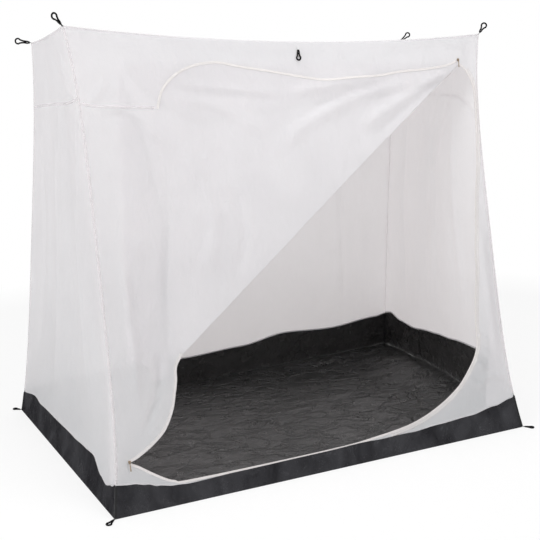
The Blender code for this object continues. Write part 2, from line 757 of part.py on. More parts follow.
def build_door():
    top_zip = curve(DOOR_TOP_EDGE)
    fold = resample([Vector(FOLD_TOP), Vector(FOLD_FOOT)], FOLD_POINTS)
    drape = [Vector(p) for p in DRAPE_EDGE]
    sewn = resample([Vector(DOOR_TOP_EDGE[-1]), Vector(DOOR_FOOT)], SEWN_POINTS)
    outline = offset(top_zip, ZIP_WIDTH)
    outline += [p + Vector((SEWN_GAP, 0)) for p in sewn[1:-1]]
    outline += list(reversed(drape)) + list(reversed(offset(fold, -FLAP_EDGE_GAP)[1:-1]))
    front_cloth("door_panel", outline, "wall_cloth")

    # The loose part of the door lies turned back behind the panel. Where it would reach past
    # the roof and the side wall it is folded over once more, and its side edge once again
    outline = flap_outline()
    i0, top_in, i1, top_out = cut_by(outline, (-1, TOP_FOLD_Z), (1, TOP_FOLD_Z))
    j0, side_in, j1, side_out = cut_by(outline, SIDE_FOLD_FOOT, SIDE_FOLD_TOP, i1)
    around = outline[1:i0 + 1] + [top_in, top_out] + outline[i1 + 1:j0 + 1] + [side_in, side_out]
    around += outline[j1 + 1:-1]
    around += list(reversed(offset(fold, FLAP_EDGE_GAP)[1:-1]))
    axis = fold_axis(FOLD_TOP, FOLD_FOOT, FLAP_SPACING / 2)
    front_cloth("door_flap", around, "wall_cloth", FLAP_SPACING, pivot=axis[0])

    stretch = [mirror(p, top_in, top_out) for p in outline[i0 + 1:i1 + 1]]
    folded_edge("top", top_in, top_out, stretch, 2)

    edge = [side_in] + [mirror(p, side_in, side_out) for p in outline[j0 + 1:j1 + 1]] + [side_out]
    k0, hem_in, k1, hem_out = cut_by(edge, HEM_FOLD_TOP, HEM_FOLD_FOOT)
    run = (hem_out - hem_in).normalized()
    back = toward(hem_in, run, side_in) * FLAP_EDGE_GAP
    side_run = (side_out - side_in).normalized()
    away = toward(side_in, side_run, hem_in) * FLAP_EDGE_GAP
    taped = edge[1:k0 + 1] + [hem_in - run * FLAP_EDGE_GAP]
    taped = [p for p in taped if off_line(p, side_in, side_out) > ZIP_FOLD_GAP]
    inner = offset(taped, inward_of(taped, side_in.lerp(side_out, 0.5)) * ZIP_WIDTH)
    plain = [p for p in edge[k1 + 1:-1] if off_line(p, side_in, side_out) > 2 * FLAP_EDGE_GAP]
    around = [side_in + side_run * FOLD_END_GAP + away] + inner + [hem_in + back, hem_out + back] + plain
    around.append(side_out - side_run * FOLD_END_GAP + away)
    axis = fold_axis(side_in, side_out, FLAP_SPACING * 1.5)
    front_cloth("door_flap_side", around, "wall_cloth", FLAP_SPACING * 2, pivot=axis[0])
    tape = strip(taped, 0, inward_of(taped, side_in.lerp(side_out, 0.5)) * (ZIP_WIDTH - ZIP_TAPE_GAP))
    front_cloth("zip_flap_side", tape, "zip_tape", FLAP_SPACING * 2, pivot=axis[0])
    folded_edge("hem", hem_in, hem_out, [mirror(p, hem_in, hem_out) for p in edge[k0 + 1:k1 + 1]], 3)


def toward(start, run, p):
    """The direction square to a line, on the side where p lies."""
    square = Vector((-run.y, run.x))
    return square if (p - start).dot(square) > 0 else -square


def inward_of(edge, p):
    """1 if p lies to the left of an edge's middle, and -1 if it lies to its right."""
    k = len(edge) // 2
    run = edge[k] - edge[k - 1]
    return 1 if (p - edge[k]).dot(Vector((-run.y, run.x))) > 0 else -1


def cut_by(outline, a, b, start=0):
    """Where an outline first goes beyond the line through a and b and where it comes back."""
    a, run = Vector(a), Vector(b) - Vector(a)

    def beyond(p):
        return ((p.y - a.y) * run.x - (p.x - a.x) * run.y) / run.length

    i, first = crossing(outline[start:], beyond)
    i += start
    j, second = crossing(outline[i + 1:], beyond)
    return i, first, j + i + 1, second


def folded_edge(name, a, b, edge, layer):
    """Cloth folded over the line from a to b, with half a zip along its free edge."""
    run = (b - a).normalized()
    away = toward(a, run, edge[len(edge) // 2])
    edge = [p for p in edge if (p - a).dot(away) > ZIP_FOLD_GAP]
    side = inward_of(edge, a.lerp(b, 0.5))
    start = a + run * FOLD_END_GAP + away * FLAP_EDGE_GAP
    end = b - run * FOLD_END_GAP + away * FLAP_EDGE_GAP
    axis = fold_axis(a, b, FLAP_SPACING * (layer - 0.5))
    cloth = [start] + offset(edge, side * ZIP_WIDTH) + [end]
    front_cloth("door_flap_" + name, cloth, "wall_cloth", FLAP_SPACING * layer, pivot=axis[0])
    tape = strip(edge, 0, side * (ZIP_WIDTH - ZIP_TAPE_GAP))
    front_cloth("zip_flap_" + name, tape, "zip_tape", FLAP_SPACING * layer, pivot=axis[0])


def build_sliders():
    """Each slider rides outside the zip, and its puller lies down the cloth below it."""
    for name, place in (("top", TOP_SLIDER), ("bottom", BOTTOM_SLIDER)):
        outward = -front_inward(place[1] - PULLER_SIZE[2] / 2)
        up = outward.cross(Vector((1, 0, 0)))
        turn = Matrix((Vector((1, 0, 0)), -outward, up)).transposed()
        centre = front_point(*place) + outward * (CLOTH / 2 + SLIDER_CLEARANCE + SLIDER_SIZE[1] / 2)
        make_object("slider_" + name, box(SLIDER_SIZE, centre, turn), "zip_metal", pivot=centre, smooth=False)
        hook = centre + outward * (SLIDER_SIZE[1] / 2 + PULLER_GAP + PULLER_SIZE[1] / 2)
        middle = hook - up * (PULLER_SIZE[2] / 2 - PULLER_LAP)
        make_object("puller_" + name, box(PULLER_SIZE, middle, turn), "zip_metal", pivot=hook, smooth=False)


def loop_path(root, reach, side, length, width):
    """Points round a cord loop: two legs side by side from the root, then a round eye."""
    eye = width / 2
    half = [(LOOP_LEG_START, LOOP_NECK), ((length - width) * LOOP_LEG_SHARE, LOOP_NECK)]
    for k in range(LOOP_EYE_POINTS):
        a = math.radians(lerp(LOOP_EYE_START, 0, k / LOOP_EYE_POINTS))
        half.append((length - eye + eye * math.cos(a), eye * math.sin(a)))
    round_it = [(0, 0)] + half + [(length, 0)] + [(x, -y) for x, y in reversed(half)]
    return [root + reach * x + side * y for x, y in round_it]


def cord_loop(name, root, reach, across, length, width):
    """A closed loop of cord that leaves its root along reach and lies square to across."""
    path = loop_path(root, reach, reach.cross(across).normalized(), length, width)
    make_object(name, tube(path, LOOP_CORD, closed=True, ref=across), "cord", pivot=root)


def tab(name, root, reach, across, start):
    """A short webbing tab along reach, from a distance behind the loop's root up to its cord."""
    end = -LOOP_CORD - TAB_GAP
    turn = Matrix((reach, across, reach.cross(across))).transposed()
    size = (end - start, TAB_SIZE[0], TAB_SIZE[1])
    make_object(name, box(size, root + reach * ((start + end) / 2), turn), "tab", smooth=False)


def build_loops():
    for place, (side, end, elevation, azimuth, length) in TOP_LOOPS.items():
        e, a = math.radians(elevation), math.radians(azimuth)
        reach = Vector((math.cos(e) * math.cos(a), math.cos(e) * math.sin(a), math.sin(e)))
        across = reach.cross(Vector((0, 0, 1))).normalized()
        root = corner(side, end, HEIGHT) + reach * LOOP_ROOT
        cord_loop("loop_" + place, root, reach, across, length, LOOP_WIDTH)
        tab("loop_tab_" + place, root, reach, across, -LOOP_ROOT - TAB_INNER)

    z = front_top(MIDDLE_LOOP_X) - MIDDLE_LOOP_DROP
    inward = front_inward(z - MIDDLE_LOOP_LENGTH)
    root = front_point(MIDDLE_LOOP_X, z) - inward * (CLOTH / 2 + LOOP_CORD + LOOP_STAND_OFF)
    down = inward.cross(Vector((1, 0, 0)))
    cord_loop("loop_middle", root, down, inward, MIDDLE_LOOP_LENGTH, MIDDLE_LOOP_WIDTH)
    tab("loop_tab_middle", root, down, Vector((1, 0, 0)), -MIDDLE_TAB)

    for place, side, end in (("front_left", -1, -1), ("front_right", 1, -1),
                             ("back_left", -1, 1), ("back_right", 1, 1)):
        reach = Vector((side, end, 0)).normalized()
        across = Vector((reach.y, -reach.x, 0))
        foot = corner(side, end, 0)
        root = foot + reach * PEG_LOOP_ROOT
        root.z = LOOP_CORD + PEG_CLEARANCE + lift(foot.x, foot.y)
        cord_loop("peg_loop_" + place, root, reach, Vector((0, 0, 1)), PEG_LOOP_LENGTH, PEG_LOOP_WIDTH)
        tab("peg_tab_" + place, root, reach, across, -PEG_LOOP_ROOT + SEAM_RADIUS + PEG_CLEARANCE)


clear_scene()
build_tray()
build_walls()
build_seams()
build_front_wall()
build_door()
build_sliders()
build_loops()
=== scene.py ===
"""Looks of the inner sleeping cabin: cloth, tray, zips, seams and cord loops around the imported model.

Metres, +Z up, in the frame of the model. The door is in the front wall, which faces -Y.
Points on the front wall are given as (x, z), and its depth is measured into the cabin.
"""

import math

import bmesh
import bpy
import numpy as np
from mathutils import Matrix, Vector
from mathutils.geometry import delaunay_2d_cdt


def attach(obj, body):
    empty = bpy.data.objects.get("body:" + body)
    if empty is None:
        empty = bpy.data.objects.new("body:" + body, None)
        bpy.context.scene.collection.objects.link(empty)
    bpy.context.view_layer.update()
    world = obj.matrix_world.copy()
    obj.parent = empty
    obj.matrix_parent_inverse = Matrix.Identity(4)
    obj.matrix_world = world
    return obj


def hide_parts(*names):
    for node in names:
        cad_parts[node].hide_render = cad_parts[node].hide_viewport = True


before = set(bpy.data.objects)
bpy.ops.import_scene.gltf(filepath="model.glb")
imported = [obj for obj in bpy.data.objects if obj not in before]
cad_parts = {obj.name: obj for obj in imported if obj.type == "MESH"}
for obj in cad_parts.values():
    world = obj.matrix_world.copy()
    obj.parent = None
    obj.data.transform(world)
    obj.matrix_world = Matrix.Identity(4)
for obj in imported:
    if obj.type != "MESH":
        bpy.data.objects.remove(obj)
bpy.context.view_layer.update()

# Camera: where the photograph was taken from
LENS = 55.0
SENSOR = 36.0
VIEW_TARGET = Vector((0.009, -0.004, 0.710))
VIEW_AZIMUTH = -24.5
VIEW_ELEVATION = 10.6
VIEW_ROLL = -1.54
VIEW_DISTANCE = 3.82

# Cabin, as in the part's source, except that the sides' top edges sag less, as in the photograph
HEIGHT = 1.75
DEPTH = 1.35
FLOOR_FRONT_HALF = 0.936
FLOOR_BACK_HALF = 1.064
TOP_HALF = 0.930
TOP_FRONT_Y = -0.321
TOP_BACK_Y = 0.366
LEFT_CORNER_DRAW_X = 0.045
RIGHT_CORNER_DRAW_X = 0.030
FRONT_DRAW_Y = 0.033
BACK_CORNER_DRAW = 0.020
SIDE_BOW = 0.022
BACK_BOW = 0.022
TOP_SAG_FRONT = 0.045
TOP_SAG_SIDE = 0.007
ROOF_SAG = 0.030
FOLD_DEPTH = 0.006
CLOTH = 0.002
CORNER_LIFT = 0.045
RIGHT_LIFT = 0.045
LIFT_START = 0.55
FRONT_RIM = ((-0.94, 0.112), (-0.855, 0.103), (-0.80, 0.092), (-0.76, 0.080), (-0.70, 0.070),
             (-0.628, 0.064), (-0.10, 0.064), (0.181, 0.070), (0.35, 0.075), (0.496, 0.084),
             (0.663, 0.092), (0.807, 0.111), (0.901, 0.129), (0.94, 0.146))
LEFT_RIM = ((0.0, 0.112), (0.035, 0.094), (0.085, 0.077), (0.13, 0.088), (0.21, 0.132), (0.29, 0.128),
            (0.41, 0.117), (0.63, 0.120), (0.79, 0.116), (0.86, 0.131), (1.0, 0.106))
RIGHT_RIM = ((0.0, 0.148), (0.12, 0.262), (0.20, 0.289), (0.30, 0.292), (0.44, 0.278), (0.56, 0.268),
             (0.72, 0.247), (0.84, 0.250), (0.93, 0.272), (1.0, 0.256))
BACK_RIM = ((-1.08, 0.106), (-0.80, 0.140), (-0.60, 0.150), (-0.22, 0.155), (0.10, 0.178),
            (0.38, 0.220), (0.67, 0.208), (0.97, 0.236), (1.08, 0.256))

# Door
FOLD_TOP = (0.812, 1.612)
FOLD_FOOT = (-0.606, 0.531)
DOOR_TOP_EDGE = ((0.802, 1.629), (0.741, 1.610), (0.625, 1.594), (0.506, 1.585), (0.387, 1.568),
                 (0.250, 1.560), (0.140, 1.552), (0.053, 1.560), (-0.148, 1.592), (-0.247, 1.606),
                 (-0.348, 1.622), (-0.444, 1.609), (-0.522, 1.573), (-0.577, 1.517), (-0.602, 1.448))
OPENING_EDGE = ((0.818, 1.612), (0.851, 1.586), (0.878, 1.533), (0.886, 1.457), (0.880, 1.324),
                (0.867, 1.191), (0.844, 1.059), (0.817, 0.883), (0.802, 0.796), (0.797, 0.716),
                (0.781, 0.621), (0.763, 0.492), (0.760, 0.420), (0.748, 0.362), (0.711, 0.306),
                (0.632, 0.228), (0.548, 0.177), (0.467, 0.142), (0.383, 0.117), (0.302, 0.102),
                (0.171, 0.089), (0.031, 0.080), (-0.307, 0.077), (-0.646, 0.079), (-0.692, 0.087),
                (-0.725, 0.099), (-0.781, 0.133), (-0.819, 0.159), (-0.852, 0.177))
DRAPE_EDGE = ((-0.606, 0.531), (-0.634, 0.490), (-0.640, 0.440), (-0.651, 0.393), (-0.668, 0.334),
              (-0.702, 0.272), (-0.744, 0.234), (-0.790, 0.205), (-0.831, 0.185), (-0.854, 0.179))
DOOR_FOOT = (-0.859, 0.176)
FLAP_CLEARANCE = 0.011
FLAP_SPACING = 0.006
FLAP_WEST_END = -0.790
FLAP_FOOT_Z = 0.230
DRAPE_GAP = 0.008
TOP_FOLD_Z = 1.620
SIDE_FOLD_TOP = (-0.742, 1.600)
SIDE_FOLD_FOOT = (-0.819, 0.470)
HEM_FOLD_TOP = (-0.592, 1.300)
HEM_FOLD_FOOT = (-0.662, 0.500)
ZIP_WIDTH = 0.009

# Zip sliders, cord loops and tabs
SLIDER_SIZE = (0.010, 0.005, 0.013)
SLIDER_CLEARANCE = 0.0024
PULLER_SIZE = (0.005, 0.0016, 0.034)
PULLER_GAP = 0.0012
TOP_SLIDER = (0.806, 1.634)
BOTTOM_SLIDER = (-0.857, 0.181)
LOOP_WIDTH = 0.022
LOOP_CORD = 0.0022
LOOP_ROOT = 0.010
LOOP_STAND_OFF = 0.0015
LOOP_NECK = 0.0036
LOOP_LEG_START = 0.0055
LOOP_LEG_SHARE = 0.65
LOOP_EYE_START = 140
LOOP_EYE_POINTS = 4
TOP_LOOPS = {
    "front_left": (-1, -1, 45, -155, 0.044),
    "front_right": (1, -1, 58, -40, 0.042),
    "back_left": (-1, 1, 8, 160, 0.058),
    "back_right": (1, 1, 40, -40, 0.090),
}
MIDDLE_LOOP_X = 0.012
MIDDLE_LOOP_DROP = 0.036
MIDDLE_LOOP_LENGTH = 0.038
MIDDLE_LOOP_WIDTH = 0.018
PEG_LOOP_ROOT = 0.014
MIDDLE_TAB = 0.014
PEG_LOOP_LENGTH = 0.034
PEG_LOOP_WIDTH = 0.018
PEG_CLEARANCE = 0.0005
SEAM_RADIUS = 0.0025
TAB_SIZE = (0.0075, 0.0018)
TAB_INNER = 0.0035
TAB_GAP = 0.0006
CORD_RADIUS = 0.0026

# Fineness of the cloth meshes
CLOTH_STEP = 0.015
LINE_STEP = 0.013
EDGE_CLEAR = 0.45


# Numbers and curves
def lerp(a, b, t):
    return a + (b - a) * t


def smooth_step(t):
    t = np.clip(t, 0.0, 1.0)
    return t * t * (3 - 2 * t)


def stack(x, y, z):
    return np.stack(np.broadcast_arrays(x, y, z), axis=-1).astype(float)


def along(table, x):
    """Reads a smooth curve through (place, value) points."""
    places, values = np.array(table).T
    x = np.clip(x, places[0], places[-1])
    k = np.clip(np.searchsorted(places, x, side="left") - 1, 0, len(places) - 2)
    share = smooth_step((x - places[k]) / (places[k + 1] - places[k]))
    return lerp(values[k], values[k + 1], share)


def curve(points, steps=8):
    """A smooth line through the given points."""
    pts = np.array(points, float)
    ends = np.vstack([2 * pts[0] - pts[1], pts, 2 * pts[-1] - pts[-2]])
    fine = []
    for a, b, c, d in zip(ends, ends[1:], ends[2:], ends[3:]):
        for t in np.arange(steps) / steps:
            fine.append(0.5 * (2 * b + (c - a) * t + (2 * a - 5 * b + 4 * c - d) * t * t
                               + (3 * b - a - 3 * c + d) * t ** 3))
    fine.append(pts[-1])
    return np.array(fine)


def lengths_along(points):
    return np.concatenate([[0.0], np.cumsum(np.linalg.norm(np.diff(points, axis=0), axis=1))])


def resample(points, step=LINE_STEP):
    """Points at even distances along a line, about a step apart."""
    points = np.array(points, float)
    run = lengths_along(points)
    count = max(2, int(math.ceil(run[-1] / step)) + 1)
    wanted = np.linspace(0, run[-1], count)
    return np.stack([np.interp(wanted, run, points[:, k]) for k in range(points.shape[1])], axis=1)


def offset(points, distance):
    """Moves an (x, z) line to its left by a distance."""
    points = np.array(points, float)
    run = np.gradient(points, axis=0)
    run /= np.linalg.norm(run, axis=1, keepdims=True)
    return points + np.stack([-run[:, 1], run[:, 0]], axis=1) * distance


def nearest(points, line):
    """Distance of points from a polyline, and how far along it they are, 0 to 1."""
    best, place = np.full(len(points), np.inf), np.zeros(len(points))
    run = lengths_along(line)
    for k, (a, b) in enumerate(zip(line[:-1], line[1:])):
        span = b - a
        t = np.clip((points - a) @ span / max(span @ span, 1e-12), 0, 1)
        d = np.linalg.norm(points - a - t[:, None] * span, axis=1)
        near = d < best
        best[near] = d[near]
        place[near] = (run[k] + t[near] * (run[k + 1] - run[k])) / run[-1]
    return best, place


def inside(points, outline):
    """Which (x, z) points lie within an outline."""
    found = np.zeros(len(points), bool)
    for a, b in zip(outline, np.roll(outline, -1, axis=0)):
        if a[1] == b[1]:
            continue
        cross = (a[1] > points[:, 1]) != (b[1] > points[:, 1])
        reach = a[0] + (b[0] - a[0]) * (points[:, 1] - a[1]) / (b[1] - a[1])
        found ^= cross & (points[:, 0] < reach)
    return found


def noise(u, v, seed):
    """Smooth noise from -1 to 1 with a grain of 1."""
    table = np.random.default_rng(seed).uniform(-1, 1, (67, 67))
    i, j = np.floor(u).astype(int), np.floor(v).astype(int)
    a, b = smooth_step(u - i), smooth_step(v - j)
    i, j = i % 66, j % 66
    low = lerp(table[i, j], table[i + 1, j], a)
    high = lerp(table[i, j + 1], table[i + 1, j + 1], a)
    return lerp(low, high, b)


# The cabin's outer surfaces
def hang(z):
    return 1 - (2 * z / HEIGHT - 1) ** 4


def corner(side, end, z):
    """A point on one of the four upright edges. side is -1 left, end is -1 front."""
    v = z / HEIGHT
    if end < 0:
        draw = LEFT_CORNER_DRAW_X if side < 0 else RIGHT_CORNER_DRAW_X
        x = lerp(FLOOR_FRONT_HALF, TOP_HALF, v) - draw * hang(z)
        y = lerp(-DEPTH / 2, TOP_FRONT_Y, v) + FRONT_DRAW_Y * hang(z)
    else:
        x = lerp(FLOOR_BACK_HALF, TOP_HALF, v) - BACK_CORNER_DRAW * hang(z)
        y = lerp(DEPTH / 2, TOP_BACK_Y, v) - BACK_CORNER_DRAW * hang(z)
    return stack(side * x, y, z)


def front_x(s, z):
    """A place across the front wall, from its left edge to its right one."""
    return lerp(corner(-1, -1, z)[..., 0], corner(1, -1, z)[..., 0], s)


def back_x(s, z):
    return lerp(-1, 1, s) * corner(1, 1, z)[..., 0]


def ripple(s, z, count, phase):
    return FOLD_DEPTH * 4 * s * (1 - s) * hang(z) * np.sin(2 * math.pi * count * s + phase + 1.1 * z)


def front_point(x, z):
    y = lerp(-DEPTH / 2, TOP_FRONT_Y, z / HEIGHT) + FRONT_DRAW_Y * hang(z)
    return stack(x, y, z)


def front_inward(z):
    """The direction into the cabin, square to the front wall at a height."""
    step = 0.01
    slope = (front_point(0, z + step)[..., 1] - front_point(0, z - step)[..., 1]) / (2 * step)
    length = np.sqrt(1 + slope * slope)
    return stack(0 * slope, 1 / length, -slope / length)


def back_point(x, z):
    a, b = corner(-1, 1, z), corner(1, 1, z)
    s = (x - a[..., 0]) / (b[..., 0] - a[..., 0])
    inward = BACK_BOW * 4 * s * (1 - s) * hang(z) + ripple(s, z, 4, 0.6)
    return stack(x, a[..., 1] - inward, z)


def side_point(side, s, z):
    """A point on a side wall. s runs from the front edge to the back edge."""
    a, b = corner(side, -1, z), corner(side, 1, z)
    p = lerp(a, b, np.asarray(s)[..., None])
    p[..., 0] -= side * (SIDE_BOW * 4 * s * (1 - s) * hang(z) + ripple(s, z, 3, 0.4 + side))
    return p


def front_top(x):
    s = 0.5 + 0.5 * x / TOP_HALF
    return HEIGHT - TOP_SAG_FRONT * 4 * s * (1 - s)


def side_top(s):
    return HEIGHT - TOP_SAG_SIDE * 4 * s * (1 - s)


def roof_point(s, t):
    sag = TOP_SAG_FRONT * 4 * s * (1 - s) + TOP_SAG_SIDE * 4 * t * (1 - t)
    sag = sag + ROOF_SAG * 16 * s * (1 - s) * t * (1 - t)
    return stack(lerp(-TOP_HALF, TOP_HALF, s), lerp(TOP_FRONT_Y, TOP_BACK_Y, t), HEIGHT - sag)


def lift(x, y):
    """How far the tray is drawn up off the ground, towards its back right corner."""
    fx = np.clip(x / lerp(FLOOR_FRONT_HALF, FLOOR_BACK_HALF, y / DEPTH + 0.5), -1, 1)
    fy = np.clip(2 * y / DEPTH, -1, 1)
    right = CORNER_LIFT * (fy + 1) / 2 + RIGHT_LIFT * (1 - fy * fy)
    back = CORNER_LIFT * np.clip((fx + 0.1) / 1.1, 0, 1)
    near_right = smooth_step((fx - LIFT_START) / (1 - LIFT_START)) ** 2
    near_back = smooth_step((fy - LIFT_START) / (1 - LIFT_START)) ** 2
    return right * near_right + back * near_back - CORNER_LIFT * near_right * near_back


# Creases of the cloth
def ridge(points, line, width, height, taper=0.25):
    """A soft ridge along a line of (u, v) points, thin at both ends."""
    distance, place = nearest(points, resample(curve(line, 4), 0.02))
    ends = smooth_step(np.minimum(place, 1 - place) / taper + 0.15)
    return height * ends * np.exp(-(distance / width) ** 2)


def relief(points, creases):
    """The height that a list of (line, width, height) creases gives to (u, v) points."""
    total = np.zeros(len(points))
    for line, width, height in creases:
        total += ridge(points, line, width, height)
    return total


# Making meshes
def add_piece(name, points, faces, material, body, slot, nodes=(), uv=None, closed=False):
    """Puts a mesh into the scene, riding on a body of the model and standing for its nodes."""
    mesh = bpy.data.meshes.new(name)
    mesh.from_pydata(np.asarray(points, float).reshape(-1, 3).tolist(), [], faces)
    if uv is not None:
        layer = mesh.uv_layers.new(name="UVMap")
        corners = np.empty(len(mesh.loops), dtype=np.int32)
        mesh.loops.foreach_get("vertex_index", corners)
        layer.data.foreach_set("uv", np.asarray(uv, np.float32).reshape(-1, 2)[corners].ravel())
    if closed:
        bm = bmesh.new()
        bm.from_mesh(mesh)
        bmesh.ops.recalc_face_normals(bm, faces=bm.faces)
        bm.to_mesh(mesh)
        bm.free()
    mesh.materials.append(material)
    mesh.shade_smooth()
    if closed:
        mesh.set_sharp_from_angle(angle=math.radians(50))
    piece = bpy.data.objects.new(name, mesh)
    bpy.context.scene.collection.objects.link(piece)
    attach(piece, body)
    if nodes:
        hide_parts(*nodes)
    return piece


def grid_piece(name, points, material, body, slot, nodes, uv):
    """A sheet over rows of points, given as an array of rows."""
    rows, cols = points.shape[:2]
    faces = []
    for j in range(rows - 1):
        for i in range(cols - 1):
            a, b = j * cols + i, (j + 1) * cols + i
            faces.append((a, a + 1, b + 1, b))
    return add_piece(name, points, faces, material, body, slot, nodes, uv)


def skin(sections, across=None):
    """Points, faces and texture places of a closed skin over sections of equal count, with filled ends."""
    count, around = sections.shape[:2]
    faces = []
    for i in range(count - 1):
        for k in range(around):
            m = (k + 1) % around
            faces.append((i * around + k, i * around + m, (i + 1) * around + m, (i + 1) * around + k))
    faces.append(tuple(reversed(range(around))))
    faces.append(tuple((count - 1) * around + k for k in range(around)))
    run = lengths_along(sections.mean(axis=1))
    if across is None:
        across = np.arange(around) * np.linalg.norm(sections[0, 1] - sections[0, 0])
    uv = stack(run[:, None], np.asarray(across)[None, :], 0)[..., :2]
    return sections.reshape(-1, 3), faces, uv.reshape(-1, 2)


def join(*skins):
    """Several (points, faces, texture places) as one."""
    points, faces, uv = [], [], []
    start = 0
    for p, f, t in skins:
        points.append(p)
        uv.append(t)
        faces += [tuple(k + start for k in face) for face in f]
        start += len(p)
    return np.vstack(points), faces, np.vstack(uv)


def add_skins(name, skins, material, body, slot, nodes=()):
    """A closed piece made of one or more skins."""
    points, faces, uv = join(*skins)
    return add_piece(name, points, faces, material, body, slot, nodes, uv, closed=True)


def tube(path, radius, sides, up=(0, 0, 1)):
    """A round tube along a path. radius is one number or one for each point."""
    path = np.array(path, float)
    run = np.gradient(path, axis=0)
    run /= np.linalg.norm(run, axis=1, keepdims=True)
    u = np.cross(run, up)
    u /= np.linalg.norm(u, axis=1, keepdims=True)
    v = np.cross(run, u)
    angle = 2 * math.pi * np.arange(sides)[:, None] / sides
    ring = u[:, None] * np.cos(angle) + v[:, None] * np.sin(angle)
    return skin(path[:, None] + ring * np.broadcast_to(radius, len(path))[:, None, None])


def band(line, section, place):
    """A narrow band along a line of (u, v) points, with a section of (offset, height) pairs."""
    sections = np.stack([place(offset(line, shift), -height) for shift, height in section], axis=1)
    return skin(sections, [shift for shift, height in section])


def flat_section(low, high, thickness):
    """The section of a flat band that lies half in the cloth, with eased edges."""
    t, e = thickness / 2, 0.0006
    return ((low, 0), (low + e, t), (high - e, t), (high, 0), (high - e, -t), (low + e, -t))


def lay_band(name, line, place, edges, thickness, material, slot, stand=0.0):
    """A flat band along a line on the cabin's cloth. edges are its two edges' distances from the line."""
    section = [(across, high + stand) for across, high in flat_section(*edges, thickness)]
    add_skins(name, [band(line, section, place)], material, "cabin", slot)


def slab(outline, levels, origin, axes):
    """A plate over an outline of (a, b) points. levels are (height, scale) pairs along the third axis."""
    outline = np.array(outline, float)
    middle = outline.mean(axis=0)
    rows = []
    for height, scale in levels:
        flat = middle + (outline - middle) * scale
        rows.append(stack(flat[:, 0], flat[:, 1], height) @ np.array(axes, float) + np.array(origin, float))
    return skin(np.array(rows))


def fill(outline, holes=(), rings=(), spacing=CLOTH_STEP):
    """Divides the inside of an (x, z) outline into small triangles. Rings are lines of extra points."""
    lines = [(outline, True)] + [(h, True) for h in holes] + [(r, False) for r in rings]
    points, edges = [], []
    for line, closed in lines:
        start = len(points)
        points += [tuple(p) for p in line]
        count = len(line)
        edges += [(start + k, start + (k + 1) % count) for k in range(count if closed else count - 1)]
    fixed = np.array(points)
    low, high = outline.min(axis=0), outline.max(axis=0)
    rows = np.arange(low[1], high[1], spacing * math.sqrt(3) / 2)
    lattice = []
    for j, z in enumerate(rows):
        x = np.arange(low[0] + (j % 2) * spacing / 2, high[0], spacing)
        lattice.append(np.stack([x, np.full_like(x, z)], axis=1))
    lattice = np.vstack(lattice)
    keep = inside(lattice, outline)
    for hole in holes:
        keep &= ~inside(lattice, hole)
    lattice = lattice[keep]
    for line, closed in lines:
        line = np.vstack([line, line[:1]]) if closed else line
        lattice = lattice[nearest(lattice, line)[0] > spacing * EDGE_CLEAR]
    points = [Vector(p) for p in np.vstack([fixed, lattice])]
    found = delaunay_2d_cdt(points, edges, [], 0, 1e-7)
    flat = np.array([tuple(p) for p in found[0]])
    faces = np.array([tuple(f) for f in found[2]])
    middle = flat[faces].mean(axis=1)
    keep = inside(middle, outline)
    for hole in holes:
        keep &= ~inside(middle, hole)
    return flat, [tuple(int(k) for k in f) for f in faces[keep]]


